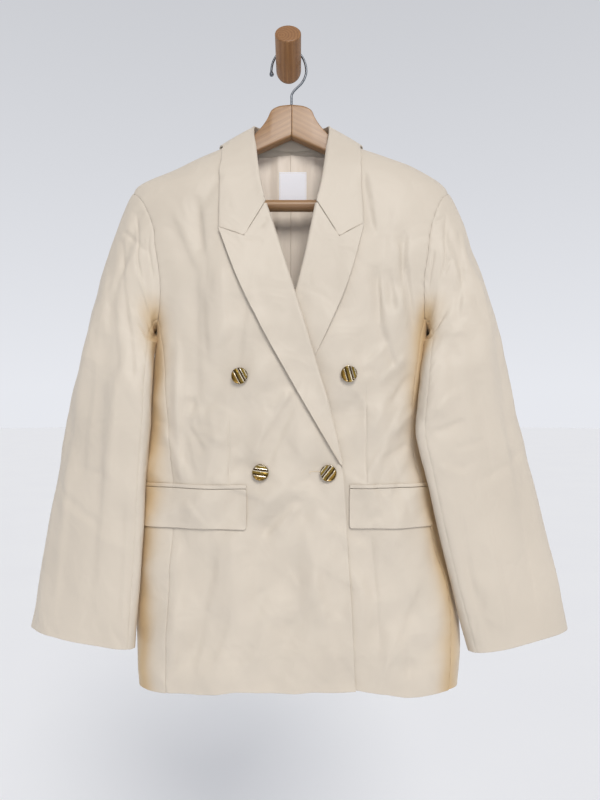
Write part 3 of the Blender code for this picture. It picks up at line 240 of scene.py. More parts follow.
# Sleeve folds: sleeve (-1 over, 1 under), turn round the sleeve and share of its length at
# both ends, half width (turns), rise
SLEEVE_FOLDS = (
    (-1, 0.12, 0.04, 0.24, 0.30, 0.030, -3.0), (-1, 0.22, 0.25, 0.27, 0.72, 0.028, -2.6),
    (-1, 0.15, 0.35, 0.17, 0.90, 0.035, 2.0), (-1, 0.33, 0.40, 0.30, 0.80, 0.030, 1.8),
    (-1, 0.70, 0.20, 0.66, 0.80, 0.040, -2.4), (1, 0.12, 0.05, 0.25, 0.28, 0.030, -2.6),
    (1, 0.24, 0.25, 0.20, 0.62, 0.030, 2.6), (1, 0.34, 0.40, 0.30, 0.75, 0.030, -2.4),
    (1, 0.14, 0.45, 0.16, 0.95, 0.035, -2.0), (1, 0.68, 0.20, 0.66, 0.80, 0.040, -2.4),
)

# Pockets: X of both ends, and heights
POCKETS = {"right": (-182.0, -50.5), "left": (77.8, 186.0)}
WELT_TOP, WELT_BOTTOM = -569.8, -574.6
FLAP_TOP, FLAP_BOTTOM = -575.2, -625.0
FLAP_CORNER = 3.5
FLAP_LIFT = 1.2

# Buttons: piece, X, Z
BUTTONS = (
    ("button_upper_right", -57.8, -434.0), ("button_upper_left", 76.3, -431.5),
    ("button_lower_right", -32.8, -554.0), ("button_lower_left", 50.8, -555.0),
)
BUTTON_RADIUS = 10.25
BUTTON_FACE = 9.2  # radius of the ribbed face
FACE_RINGS = 32
BUTTON_DOME = (6.9, 0.7)  # height of the face at its middle, and how much lower at its rim
BUTTON_BOSS = 0.7  # radius of the small boss in the middle
# Half section of the rim, the underside and the shank: distance from the axis, height
BUTTON_RIM = (
    (9.4, 6.5), (9.8, 6.5), (BUTTON_RADIUS, 5.9), (BUTTON_RADIUS, 4.4), (9.0, 3.4), (3.0, 2.8),
    (2.6, SEAM), (0.0, SEAM),
)

# Lining and blank label inside the back
LINING_GAP = 1.2  # between the back and the lining
LINING_SIDE = 104.0
LINING_TOP, LINING_BOTTOM = -125.0, -560.0
LINING_NARROWS = (0.55, 0.8)  # how much narrower it is at the neck, and from what share up
LINING_TOP_DROP = 3.0
LABEL_SIZE = 38.0, 42.0
LABEL_CENTRE = 6.0, -169.0

# Peg: a dowel that slants up from the wall
PEG_RADIUS = 17.5
PEG_TILT = math.radians(27)
PEG_LENGTH = 54.0
PEG_ROUNDING = 2.0
PEG_GRAIN = (500, 9, 4)  # where its growth rings' middle lies, off the axis and out of sight

# Hanger: everything is drawn upright and leans out from the hook's contact
WIRE = 3.5
HOOK_Y = -7.0
HOOK_RADIUS = 24.2
HOOK_CENTRE = 0.5, -8.2
HOOK_TIP = 196  # degrees round from the wearer's left side
# X and Z of the wire from the arch down to the wood
HOOK_NECK = ((22.6, -17.5), (18.4, -25.5), (12.0, -32.5), (6.8, -38.5))
HOOK_NECK_TOP = -45.0  # height where it runs straight down
# The knob at the wire's tip: distance along the wire and radius
HOOK_KNOB = (
    (0.0, 0.0), (0.0, 1.2), (0.15, 1.9), (0.6, 2.5), (1.4, 2.9), (2.4, 3.0), (3.4, 2.9),
    (4.4, 2.5), (5.6, 1.9), (7.5, 1.6),
)
HOOK_ROWS = 120
HOOK_WIRE = 1.6  # radius of the shown wire
HANGER_LEAN = math.radians(8)
BOARD = 16.5
HANGER_TOP = -60.0
BAR_RADIUS = 7.8
BAR_HEIGHT = -203.0
BAR_END = 166.0
# The bar's broken edges: distance from its end, and how much thinner it is there
BAR_BREAK = ((0.0, BAR_RADIUS), (0.0, 1.2), (0.4, 0.3), (1.2, 0.0))
BAR_ROWS = 40
BAR_GRAIN = 40  # how far below the bar its growth rings' middle lies

# Lining: creases of X at the top, lean, half width and rise, and the pressed pleat's edge
LINING_CREASES = (
    (-26.0, -0.02, 5.0, 1.2), (-14.0, 0.0, 3.5, -1.0), (18.0, 0.03, 5.0, 1.2),
    (34.0, 0.05, 6.0, -1.2), (-42.0, 0.04, 7.0, -1.0),
)
PLEAT_X, PLEAT_FALL = 2.5, 0.9
LINING_THIN, LABEL_THIN = 0.8, 0.7  # thickness of the shown lining and label

# Ribs of the buttons, and stitches
BUTTON_SIDES = 96
RIDGE_PITCH, RIDGE_DEPTH = 4.1, 0.4  # of the buttons' ribs
RIDGE_SWAY = (0.3, 1.3)  # unevenness of the ribs: share of a pitch, and how fast it changes
RIDGE_SIDES = (0.8, 0.2)  # shares of a rib's long slope and of its steep side
RIDGE_TURNS = (-62.0, -74.0, -8.0, 52.0)  # of the ribs in degrees, in the order of BUTTONS
BOSS_DEPTH = 0.35
RIM_HIGHLIGHT_WIDTH = 0.35  # width of the rim's painted highlight
HIGHLIGHT_BAND = 0.46  # place of the band whose cream, a painted highlight, the boss and the rim have
BUTTONHOLE = (29.0, 41.0, -554.4)  # X of both ends and height
BUTTONHOLE_HALF_WIDTH = 1.1
HOLE_STITCH = (0.55, 1.7, 0.3)  # spacing, length and thread radius
HOLE_STITCH_PROUD = 0.15
LABEL_STITCH = (2.0, 1.5, 0.17)
LABEL_BASE = -CLOTH - LINING_GAP - LINING - SEAM
LABEL_STITCH_INSET = 1.8
LABEL_STITCH_DEPTH = 0.65  # from the label's outer side to the stitches' middle
STITCH_SWAY = 0.09  # how unevenly the stitches lie, as a share of their direction

# Upper and lower line of half of the hanger's board, row by row from its middle
HANGER_LINE_TOP = (
    (0, -60), (14, -61.5), (26.5, -67.5), (32.5, -80), (39, -90.5), (50, -103.2), (66, -117.1),
    (97, -131.8), (125, -145), (153, -158.8), (172, -170), (185, -178.9), (191.5, -188),
    (193.5, -198), (192, -208), (187, -213),
)
HANGER_LINE_BOTTOM = (
    (0, -107), (14, -113.5), (26, -119.2), (35, -123.4), (44, -127.6), (56, -133.4),
    (72, -141.4), (97, -154), (121, -167), (145, -180), (158, -184.5), (167, -194), (168, -204),
    (170, -211), (176, -214.5), (183, -215.5),
)
BOARD_CORNER = 3.5
BOARD_ROWS = 90
GLUE_LINE = 0.15  # half of the gap between the board's halves
GRAIN_TURN = math.radians(30)  # how much the grain of each half runs down

# Colours of the cloth: two tones that differ at random, and a painted shade, a warmer and deeper
# cream, for the gaps between the body and the sleeves
CLOTH_DARK, CLOTH_LIGHT, CLOTH_PAINTED_SHADE = "C5BBAD", "D0C6B8", "C0A680"
# Bands across a button's face: place from one side (0) to the other (1) and colour; the thin cream
# bands are painted highlights
BAND_STOPS = (
    (0.00, "6E5A26"), (0.10, "4A3820"), (0.13, "E6DCC6"), (0.17, "8A7434"), (0.28, "7A642C"),
    (0.30, "E9DFCB"), (0.34, "3A2A1A"), (0.43, "54401F"), (0.46, "EDE5D4"), (0.50, "8E7638"),
    (0.62, "7A6330"), (0.64, "362817"), (0.72, "4A3920"), (0.75, "E8DCC4"), (0.79, "A07E3E"),
    (0.92, "6A5222"), (1.00, "5A4420"),
)
WAVE = math.pi / 10  # a wave texture of scale WAVE / d repeats at every d

# Light, floor and camera, in metres
WORLD_COLOUR = (0.80, 0.815, 0.86, 1.0)
WORLD_HEIGHTS = (0.02, 0.55)  # of directions between which the backdrop falls to its dimmest
WORLD_DIMMEST = 0.74
WORLD_FRONT = 0.5  # strength of the world on the camera's side, against 1 behind the blazer
WORLD_SIDES = (-0.7, 0.5)  # Y of the directions between which it grows
SUN_STRENGTH = 2.1
SUN_WIDTH = 26.0
SUN_COLOUR = (1.0, 0.975, 0.94)
SUN_FROM = (0.2, -1.0, 0.78)
SOFTBOX_POWER = 1.6
SOFTBOX_PLACE = (0.1, -1.4, -0.6)
SOFTBOX_SIZE = (1.2, 0.5)
SOFTBOX_AIM = (0.0, -0.1, -0.45)
CAMERA_PLACE = (0.016, -0.900, -0.464)
CAMERA_LENS = 28.8
FLOOR_HEIGHT, FLOOR_RADIUS = -1.7, 30.0
FLOOR_DARK, FLOOR_LIGHT = "F0F1F4", "F3F4F6"

EDGE_TOP = OVER_EDGE[-1][0]  # share of a front's height where its neck starts
ROLL_SHARES = (0.383, EDGE_TOP)  # shares of a front's height between which it rolls back
SEAM_SHARE = 0.64  # share of a front's height where its side seam ends at the armhole
HIND_SEAM = 0.8411  # turn of a sleeve's seam behind
NECK_SHARE = 0.3  # of a back's top that is neckline

# What the cloth shows beyond the solids' folds
STEP = 3.0  # of the grids
COLLAR_STEP, STRIP_STEP, LINING_STEP, LABEL_STEP = 2.5, 2.0, 1.6, 1.5
# Widths and heights that the panels' steps are counted on
FRONT_GRID, SIDE_GRID, BACK_GRID, SLEEVE_GRID = (240, 660), (85, 480), (190, 720), (400, 620)
COLLAR_GRID = (300, 56)  # its length, and the number of points across
LAPEL_GRID = (105, 345)
ALL_FREE = ("free",) * 4
EDGE_STEPS = (0.0, 0.3, 0.8, 1.5, 2.6)  # distances of a grid's first lines from an edge or a seam
SEAM_DIP = 0.45  # how far cloth sinks into a seam
SEAM_REACH = 1.3
# Middle of the gaps between the body and the sleeves, where the painted shade lies: height, X of
# the wearer's right and left side
ARM_GAP = (
    (-840, -186, 206), (-720, -186, 204), (-560, -176, 182), (-440, -170, 170),
    (-330, -176, 182),
)
# Painted shade in the gaps between the body and the sleeves: how far it reaches either way from a
# gap's middle
PAINTED_SHADE_REACH = 17.0
PAINTED_SHADE_AHEAD, PAINTED_SHADE_BEHIND = (-96, 18), (-30, 22)  # Y where the shade starts or ends, and run
PAINTED_SHADE_TOP = (-318, 40)  # the same for its height
HEM_TURN = (40.0, 2.2, 0.35)  # height of a turned hem's impression, its half width and depth
PUCKER = 0.2  # how far a sewn edge draws in, how far that reaches, and how long each pucker is
PUCKER_REACH, PUCKER_LENGTH = 7.0, 11.0
WALL = 1.6  # thickness of the shown cloth, pocket pieces included

CREASE_DEPTH = 1.5  # against the rises in the rows of folds and creases
WAVE_DEPTH = {1: 2.7, -1: 1.0}  # of the slow waves low on the front and on the back
WAVE_LEAST, FINE_LEAST, FINE_DEPTH = 0.5, 0.05, 0.2  # at the shoulders, and of the fine waves
WAVES_GROW = (-230, 260)  # height below which the waves grow, and over what height
STEEP_SIDE = 0.4  # of a crease's half width, on its steeper side
STEEP_CHANGE = 900  # how soon it changes: distance from the crease's line times its length
CREASE_ENDS = (0.15, 0.35)  # how far a crease runs on, and over what share of it it fades
SLEEVE_CREASE_ENDS = (0.1, 0.35)
# Creases of the fronts and the back: face, X and Z of both ends, half width and rise
CREASES = (
    (1, -116, -205, -108, -280, 12, -2.0), (1, -86, -172, -110, -218, 9, -1.4),
    (1, -100, -475, -92, -520, 24, 2.2), (1, -118, -462, -126, -497, 9, -1.8),
    (1, -126, -497, -104, -528, 8, -1.6), (1, 3, -455, -20, -472, 10, 1.6),
    (1, -20, -472, -44, -538, 11, 2.0), (1, 8, -470, -26, -545, 10, -1.6),
    (1, 11, -588, -32, -633, 10, -2.0), (1, -50, -578, -32, -569, 4, -0.9),
    (1, 98, -169, 110, -251, 10, -2.0), (1, 150, -285, 160, -372, 9, -2.2),
    (1, 140, -262, 146, -350, 8, 1.6), (1, 128, -300, 134, -352, 9, -1.8),
    (1, 120, -440, 150, -408, 7, 1.6), (1, 132, -470, 158, -432, 8, -1.8),
    (1, 136, -505, 162, -476, 8, 1.6), (1, 120, -540, 156, -520, 7, -1.2),
    (1, -66, -238, -59, -248, 4, -0.8), (1, -35, -246, -25, -233, 4, -0.8),
    (1, -54, -260, -32, -263, 3, -0.5), (1, -84, -300, -76, -390, 16, 1.6),
    (1, -108, -330, -100, -420, 12, -1.8), (1, -50, -330, -62, -420, 12, -1.2),
    (1, -44, -538, 4, -452, 13, 1.5), (1, -32, -520, 22, -440, 10, -1.2),
    (1, -97, -495, -84, -470, 22, 1.4), (1, -122, -462, -112, -500, 9, -1.6),
    (1, -112, -508, -84, -522, 8, -1.0), (1, 11, -588, -32, -633, 14, -1.5),
    (1, -5, -575, -50, -615, 12, 1.2), (1, 100, -420, 128, -392, 6, 1.2),
    (1, 84, -446, 104, -480, 8, 1.0), (1, 66, -448, 58, -486, 7, -0.9),
    (1, 92, -428, 112, -428, 5, -0.9), (1, -46, -556, -62, -566, 6, 0.8),
    (1, 30, -560, 6, -572, 7, -0.9), (1, -120, -206, -98, -330, 18, -1.2),
    (1, 130, -206, 116, -320, 18, -1.2), (1, -138, -640, -142, -800, 12, 1.6),
    (1, 105, -640, 118, -800, 12, -1.4), (-1, -140, -250, -110, -330, 12, 1.4),
    (-1, 148, -250, 118, -330, 12, 1.4), (-1, -120, -430, -60, -520, 12, 1.4),
    (-1, 125, -420, 70, -515, 12, 1.4), (-1, -30, -200, -38, -420, 16, -1.0),
    (-1, 40, -200, 48, -420, 16, -1.0),
)
# Small creases of the front and the back: seed, number, lower and upper corner, range of rise
CRUMPLES = {
    1: (21, 46, (-175, -800), (185, -420), (0.9, 2.0)),
    -1: (22, 44, (-175, -800), (185, -380), (0.7, 1.6)),
}
CRUMPLE_LEAN, CRUMPLE_RUN, CRUMPLE_WIDTH = (0.1, 1.1), (25, 80), (7, 17)  # radians and mm
# Darts: side (-1 over, 1 under), X, Z of the upper and the lower end
DARTS = {-1: (-72.2, -483.0, -569.5), 1: (99.3, -443.0, -569.5)}
DART_ROWS = (0.34, 0.56)  # shares of a front's height between which its dart lies
DART_DIP, DART_FULLNESS = 0.75, 0.8  # how deep its line sinks, how far its point stands out
DART_FADE, DART_LINE = 14, 1.2  # height over which its line fades in, and the line's half width
DART_POINT = (16, 26)  # half width and half height of its point's fullness
# Creases of the sleeves' front halves, by X and Z as the fronts' ones
SLEEVE_TICKS = {
    -1: (
        (-213, -244, -194, -262, 4.5, -1.7), (-194, -262, -176, -276, 4.5, -1.4),
        (-204, -222, -186, -223, 4, -1.0), (-185, -259, -178, -269, 3, -0.8),
        (-215, -254, -208, -325, 5, -1.8), (-208, -325, -198, -384, 6, -1.8),
        (-198, -384, -193, -436, 7, -1.6), (-223, -332, -213, -425, 9, -1.6),
        (-236, -300, -232, -390, 12, 1.8), (-250, -420, -262, -560, 12, -1.8),
        (-214, -440, -222, -560, 12, 1.8), (-232, -520, -246, -700, 11, -1.8),
        (-280, -560, -300, -740, 12, 1.8), (-206, -600, -212, -760, 10, -1.6),
    ),
    1: (
        (189, -235, 202, -228, 4, -1.2), (209, -283, 200, -304, 4, -1.3),
        (223, -244, 225, -297, 6, -1.9), (225, -297, 215, -360, 7, -1.9),
        (246, -300, 262, -400, 12, 1.8), (182, -480, 214, -452, 8, 1.6),
        (184, -505, 222, -490, 8, -1.8), (190, -548, 226, -560, 9, 1.6),
        (236, -430, 262, -560, 11, -1.8), (272, -480, 292, -600, 12, 1.8),
        (214, -600, 236, -720, 10, -1.8), (252, -620, 276, -750, 11, 1.6),
        (300, -600, 322, -740, 12, -1.6), (246, -735, 262, -742, 5, 1.0),
        (250, -752, 268, -750, 4, -0.9),
    ),
}
SLEEVE_WAVES = (1.2, 0.16)  # depth of the sleeves' slow and fine waves
SLEEVE_CALM = (0.2, 0.07)  # share of the length and of a turn by head and seam where they fade
# Other creases of the sleeves, as SLEEVE_FOLDS
SLEEVE_CREASES = (
    (-1, 0.10, 0.06, 0.30, 0.13, 0.012, -1.6), (-1, 0.20, 0.03, 0.32, 0.05, 0.012, -1.0),
    (-1, 0.28, 0.14, 0.40, 0.16, 0.014, 1.1), (-1, 0.36, 0.30, 0.42, 0.33, 0.014, -1.0),
    (1, 0.10, 0.06, 0.30, 0.12, 0.012, -1.4), (1, 0.24, 0.03, 0.34, 0.05, 0.012, -1.0),
    (1, 0.34, 0.26, 0.42, 0.30, 0.014, -1.2), (1, 0.33, 0.90, 0.30, 0.99, 0.020, 1.2),
    (1, 0.38, 0.86, 0.36, 0.99, 0.016, -1.2),
)


def smooth(rows):
    """A function that runs smoothly, without overshoot, through the rows' first column."""
    data = np.array(sorted(rows), float)
    at, values = data[:, 0], data[:, 1:]
    steps = np.diff(at)[:, None]
    slopes = np.diff(values, axis=0) / steps
    tangents = np.zeros_like(values)
    before, after = slopes[:-1], slopes[1:]
    total = np.where(np.abs(before + after) < 1e-12, 1.0, before + after)
    tangents[1:-1] = np.where(before * after > 0, 2 * before * after / total, 0.0)
    tangents[0], tangents[-1] = slopes[0], slopes[-1]

    def value(t):
        t = np.asarray(t, float)
        row = np.clip(np.searchsorted(at, t) - 1, 0, len(at) - 2)
        step = (at[row + 1] - at[row])[..., None]
        s = np.clip((t - at[row])[..., None] / step, 0, 1)
        leave, arrive = tangents[row] * step, tangents[row + 1] * step
        return cubic(values[row], values[row + 1], leave, arrive, s)

    return value


def cubic(start, end, leave, arrive, t):
    """The curve from start (t = 0) to end (1) that leaves and arrives in the given ways."""
    rest = 1 - t
    lines = start * (1 + 2 * t) * rest**2 + end * t * t * (3 - 2 * t)
    return lines + leave * t * rest**2 - arrive * t * t * rest


def split(values):
    return np.moveaxis(np.asarray(values), -1, 0)


def join(*values):
    return np.stack(np.broadcast_arrays(*values), axis=-1)


def ease(t):
    """0 below 0, 1 above 1, and smooth between."""
    t = np.clip(t, 0, 1)
    return t * t * (3 - 2 * t)


def unit(vectors):
    return vectors / np.linalg.norm(vectors, axis=-1, keepdims=True)


def power(value, exponent):
    """A power that keeps the sign."""
    return np.copysign(np.abs(value) ** exponent, value)


# The torso's face ------------------------------------------------------------------------

torso_sizes = smooth(TORSO)
arm_gap = smooth(ARM_GAP)
hem_height = smooth(HEM)


def ridges(rows, x, z):
    """The rise at a point of rows of X, Z, X, Z, half width and rise."""
    rise = 0.0
    for x0, z0, x1, z1, half_width, height in rows:
        run_x, run_z = x1 - x0, z1 - z0
        share = ((x - x0) * run_x + (z - z0) * run_z) / (run_x**2 + run_z**2)
        held = np.clip(share, 0, 1)
        away = (x - x0 - run_x * held) ** 2 + (z - z0 - run_z * held) ** 2
        side = (x - x0) * run_z - (z - z0) * run_x
        width = half_width * (STEEP_SIDE + (1 - STEEP_SIDE) * ease(0.5 + side / STEEP_CHANGE))
        over, fading = CREASE_ENDS
        fade = ease((share + over) / fading) * ease((1 + over - share) / fading)
        rise = rise + height * fade * np.exp(-away / width**2)
    return rise


def crumples(seed, count, low, high, heights):
    """Rows of small creases, each steeper on one side, between two corners of a panel."""
    draw = np.random.default_rng(seed)
    rows = []
    for _ in range(count):
        x, z = draw.uniform(low, high)
        lean = draw.choice((-1, 1)) * draw.uniform(*CRUMPLE_LEAN)
        run = draw.uniform(*CRUMPLE_RUN)
        end_x, end_z = x + run * math.sin(lean), z - run * math.cos(lean)
        width = draw.uniform(*CRUMPLE_WIDTH)
        height = draw.uniform(*heights) * draw.choice((-1, 1)) * width / 12
        rows.append((x, z, end_x, end_z, width, height))
    return rows


def waves(seed, count, shortest, longest, lean, crisp):
    """A slow uneven surface of about 1 either way, whose waves run mostly up and down.

    Crisp is 0 for round waves and near 1 for flat facets with sharp ridges."""
    draw = np.random.default_rng(seed)
    lengths = draw.uniform(shortest, longest, count)
    turns = draw.normal(0, lean, count)
    phases = draw.uniform(0, 2 * math.pi, count)

    def rise(x, z):
        total = 0.0
        for length, turn, phase in zip(lengths, turns, phases):
            along = x * math.cos(turn) + z * math.sin(turn)
            across = (z * math.cos(turn) - x * math.sin(turn)) / (0.6 * length)
            drift = 0.12 * np.sin(across + 3 * phase)
            wave = np.sin(2 * math.pi * (along / length + drift) + phase)
            total = total + np.arcsin(crisp * wave) / math.asin(crisp) * length / longest
        return total / math.sqrt(count / 2)

    return rise


cloth_waves = waves(seed=11, count=14, shortest=45, longest=110, lean=0.75, crisp=0.98)
fine_waves = waves(seed=12, count=14, shortest=18, longest=44, lean=0.9, crisp=0.9)
face_creases = {
    face: [(*row[1:6], CREASE_DEPTH * row[6]) for row in FOLDS + CREASES if row[0] == face]
    + crumples(*CRUMPLES[face])
    for face in (1, -1)
}


def relief(x, z, face):
    """The uneven hang of the cloth at a point of the front (1) or the back (-1)."""
    start, run = WAVES_GROW
    low = ease((start - z) / run)
    away = x + 700 * (1 - face)  # so that the back's waves aren't the front's
    slow = (WAVE_LEAST + WAVE_DEPTH[face] * low) * cloth_waves(away, z)
    fine = (FINE_LEAST + FINE_DEPTH * low) * fine_waves(away, z)
    return slow + fine + ridges(face_creases[face], x, z)


def ring_point(angle, height, apart=0.0):
    """Angle 0 is the wearer's left side, a quarter turn on is the front."""
    left, right, side, ahead, behind = split(torso_sizes(height))
    centre, half = (left + right) / 2, (right - left) / 2
    depth = np.where(np.sin(angle) > 0, side - ahead, behind - side)
    x = centre + half * power(np.cos(angle), 2 / ROUNDNESS)
    y = side + apart - depth * power(np.sin(angle), 2 / ROUNDNESS)
    return join(x, y, height)


def ring_normal(angle, height):
    turn, step = 1e-3, 0.4
    along = ring_point(angle + turn, height) - ring_point(angle - turn, height)
    up = ring_point(angle, height + step) - ring_point(angle, height - step)
    return unit(np.cross(up, along))


def torso(angle, height, out=0.0, apart=0.0):
    point = ring_point(angle, height, apart)
    ahead = np.sin(angle)
    x, z = point[..., 0], point[..., 2]
    rise = np.where(ahead > 0, relief(x, z, 1), relief(x, z, -1)) * ease(np.abs(ahead) * 2.5)
    return point + ring_normal(angle, height) * (out + rise)[..., None]


def face_angle(x, height, face, side=0):
    """The angle of the point at X on the front (1), a side (0) or the back (-1).

    On the back the angle runs on from side 1 or side -1, or from the nearer one."""
    left, right = split(torso_sizes(height))[:2]
    share = np.clip((x - (left + right) / 2) / ((right - left) / 2), -1, 1)
    if face == 0:
        share = np.sign(share)
    angle = np.arccos(power(share, ROUNDNESS / 2))
    if face >= 0:
        return angle
    near_left = share > 0 if side == 0 else side > 0
    return np.where(near_left, -angle, 2 * math.pi - angle)


def over_rise(x, z):
    """How far the over front stands off the torso's face."""
    lapel, skirt = [ease((start - z) / run) for start, run in (OVER_LAPEL_FALL, OVER_SKIRT_FALL)]
    height = OVER_LAPEL_RISE * lapel * (1 - skirt) + OVER_SKIRT_RISE * skirt
    return height * ease((x - OVER_RAMP[0]) / (OVER_RAMP[1] - OVER_RAMP[0]))


def front(side, x, z, out=0.0):
    """A point in front of the chest; side -1 is the over front, 1 the under front."""
    if side < 0:
        out = out + over_rise(x, z)
    return torso(face_angle(x, z, 1), z, out, -SEAM / 2)


def back(x, z, out=0.0):
    return torso(face_angle(x, z, -1), z, out, SEAM / 2)


# Edges that pieces share -----------------------------------------------------------------


def faced(rows, side):
    """Rows of share, X, Z, face as a smooth function to the torso's angle and height."""
    return smooth([(share, float(face_angle(x, z, face, side)), z) for share, x, z, face in rows])


def mirrored(rows, side):
    """The same for rows whose X is a distance from the middle."""
    return faced([(share, BODY_CENTRE + side * x, z, face) for share, x, z, face in rows], side)


armholes = {-1: faced(OVER_ARMHOLE, -1), 1: faced(UNDER_ARMHOLE, 1)}
necks = {side: mirrored(NECK, side) for side in (-1, 1)}
seams = {-1: smooth(OVER_SEAM), 1: smooth(UNDER_SEAM)}
free_edges = {-1: smooth(OVER_EDGE), 1: smooth(UNDER_EDGE)}
lapel_edges = {-1: smooth(OVER_LAPEL), 1: smooth(UNDER_LAPEL)}
back_seam_in = smooth(BACK_SEAM_IN)
collar_fold = smooth(COLLAR_FOLD)
collar_edges = {side: mirrored(COLLAR_EDGE, side) for side in (-1, 1)}


def surface_place(angle, height):
    """X and Z of a place on the torso's face."""
    return join(ring_point(angle, height)[..., 0], height)


def armhole_place(side, share):
    return surface_place(*split(armholes[side](share)))


def front_free_edge(side, v):
    """Hem, front edge, roll line and neck of a front, from 0 to 1."""
    x, z = split(free_edges[side](np.minimum(v, EDGE_TOP)))
    low, high = TUCK_ROWS
    inside = EDGE_INSIDE_FOLD * ease((v - low) / (high - low))
    free = join(x + side * inside, z)
    above = np.maximum(v - EDGE_TOP, 0)
    turning = NECK_TURNING * ease((1 - v) / TURNING_FADE)
    neck_x, neck_z = split(surface_place(*split(necks[side](1 - above / (1 - EDGE_TOP) / 2))))
    neck = join(neck_x + side * turning, neck_z)
    return free + (neck - free) * ease(above / NECK_BLEND)[..., None]


def front_side_edge(side, v):
    z = SIDE_HEM + (SEAM_TOP - SIDE_HEM) * np.minimum(v / SEAM_SHARE, 1)
    seam = join(seams[side](z)[..., 0] - side * SEAM / 2, z)
    share = SEAM_ENDS[0] * (1 - np.maximum(v - SEAM_SHARE, 0) / (1 - SEAM_SHARE))
    return np.where((v <= SEAM_SHARE)[..., None], seam, armhole_place(side, share))


def shoulder_edge(side, u):
    z = SHOULDER_TOP + (SHOULDER_END - SHOULDER_TOP) * u
    left, right = split(torso_sizes(z))[:2]
    return join(left if side < 0 else right, z)


def front_hem(side, u):
    start, end = front_free_edge(side, np.array(0.0)), front_side_edge(side, np.array(0.0))
    x = start[0] + (end[0] - start[0]) * u
    return join(x, hem_height(x)[..., 0])


def coons(left, right, bottom, top, u, v):
    """The points of the patch between four edges, each a function of 0 to 1."""
    s, t, low, high = u[..., None], v[..., None], np.array(0.0), np.array(1.0)
    straight = left(v) * (1 - s) + right(v) * s + bottom(u) * (1 - t) + top(u) * t
    below = left(low) * (1 - s) + right(low) * s
    above = left(high) * (1 - s) + right(high) * s
    return straight - below * (1 - t) - above * t


def front_patch(side, u, v):
    edges = (front_free_edge, front_side_edge, front_hem, shoulder_edge)
    return coons(*[partial(edge, side) for edge in edges], u, v)


def back_seam_x(side, z):
    left, right = split(torso_sizes(z))[:2]
    inwards = back_seam_in(z)[..., 0]
    return left + inwards if side < 0 else right - inwards


def back_centre(v):
    z = BACK_HEM + (NECK[-1][2] - BACK_HEM) * v
    return join(BODY_CENTRE + CENTRE_SEAM_DRIFT * (1 - v), z)


def back_side_edge(side, v):
    z = BACK_HEM + (BACK_SEAM_TOP - BACK_HEM) * np.minimum(v / SEAM_SHARE, 1)
    seam = join(back_seam_x(side, z) - side * SEAM / 2, z)
    share = SEAM_ENDS[1] + (1 - SEAM_ENDS[1]) * np.maximum(v - SEAM_SHARE, 0) / (1 - SEAM_SHARE)
    return np.where((v <= SEAM_SHARE)[..., None], seam, armhole_place(side, share))


def back_top(side, u):
    neck = surface_place(*split(necks[side](0.5 * np.minimum(u / NECK_SHARE, 1))))
    shoulder = shoulder_edge(side, np.maximum(u - NECK_SHARE, 0) / (1 - NECK_SHARE))
    return np.where((u < NECK_SHARE)[..., None], neck, shoulder)


def back_patch(side, u, v):
    def hem(t):
        x = back_centre(np.array(0.0))[0] * (1 - t)
        return join(x + back_side_edge(side, np.array(0.0))[0] * t, BACK_HEM)

    return coons(back_centre, partial(back_side_edge, side), hem, partial(back_top, side), u, v)


# Meshes ----------------------------------------------------------------------------------


def linear(code):
    """An sRGB hex colour as linear light."""
    values = [int(code[at : at + 2], 16) / 255 for at in (0, 2, 4)]
    return [v / 12.92 if v <= 0.04045 else ((v + 0.055) / 1.055) ** 2.4 for v in values]


def spread(length, marks=(), step=STEP):
    """Shares of a length in millimetres, closer at its ends and round the marks."""
    near = np.array(EDGE_STEPS) / length
    places = [near, 1 - near]
    for mark in marks:
        places += [mark + near, mark - near]
    close = np.unique(np.round(np.concatenate(places), 7))
    even = np.linspace(0, 1, max(int(round(length / step)), 4) + 1)
    lonely = np.abs(even[:, None] - close[None, :]).min(axis=1) > 0.4 * step / length
    return np.sort(np.concatenate([close, even[lonely]]))


def add_object(name, points, faces, material, unwrap=None):
    """A smooth mesh object from points in millimetres; unwrap gives a point's UV in metres."""
    mesh = bpy.data.meshes.new(name)
    mesh.from_pydata((points * MM).tolist(), [], faces)
    if unwrap is not None:
        layer = mesh.uv_layers.new(name="cloth")
        corner = np.empty(len(mesh.loops), np.int32)
        mesh.loops.foreach_get("vertex_index", corner)
        layer.data.foreach_set("uv", unwrap[corner].astype(np.float32).ravel())
    mesh.materials.append(material)
    mesh.shade_smooth()
    mesh.validate()
    made = bpy.data.objects.new(name, mesh)
    blazer_collection.objects.link(made)
    return made


def distances(points, axis):
    """How far every point of a path or a grid is from the first one, along an axis."""
    steps = np.linalg.norm(np.diff(points, axis=axis), axis=-1)
    before = [(int(number == axis), 0) for number in range(steps.ndim)]
    return np.pad(steps.cumsum(axis=axis), before)


def wall(name, outer, inner, material):
    """One closed wall of cloth between two grids of points."""
    rows, columns = outer.shape[:2]
    size = rows * columns
    index = np.arange(size).reshape(rows, columns)
    squares = np.stack([index[:-1, :-1], index[1:, :-1], index[1:, 1:], index[:-1, 1:]], -1)
    squares = squares.reshape(-1, 4)
    rim = np.concatenate([index[0, :-1], index[:-1, -1], index[-1, :0:-1], index[:0:-1, 0]])
    after = np.roll(rim, -1)
    sides = np.stack([rim, after, after + size, rim + size], -1)
    faces = np.concatenate([squares, squares[:, ::-1] + size, sides])
    row, column = rows // 2, columns // 2
    up = outer[row + 1, column] - outer[row, column]
    along = outer[row, column + 1] - outer[row, column]
    if np.cross(up, along) @ (outer[row, column] - inner[row, column]) < 0:
        faces = faces[:, ::-1]
    across, upward = distances(outer, 1), distances(outer, 0)
    flat = np.stack([across - across.mean(axis=1, keepdims=True), upward], -1).reshape(-1, 2) * MM
    points = np.concatenate([outer.reshape(-1, 3), inner.reshape(-1, 3)])
    made = add_object(name, points, faces.tolist(), material, np.concatenate([flat, flat]))
    # painted shade between the body and the sleeves, kept as a point attribute that the cloth's
    # material reads
    layer = made.data.attributes.new("painted_shade", "FLOAT", "POINT")
    layer.data.foreach_set("value", painted_shade(points).astype(np.float32))
    return made


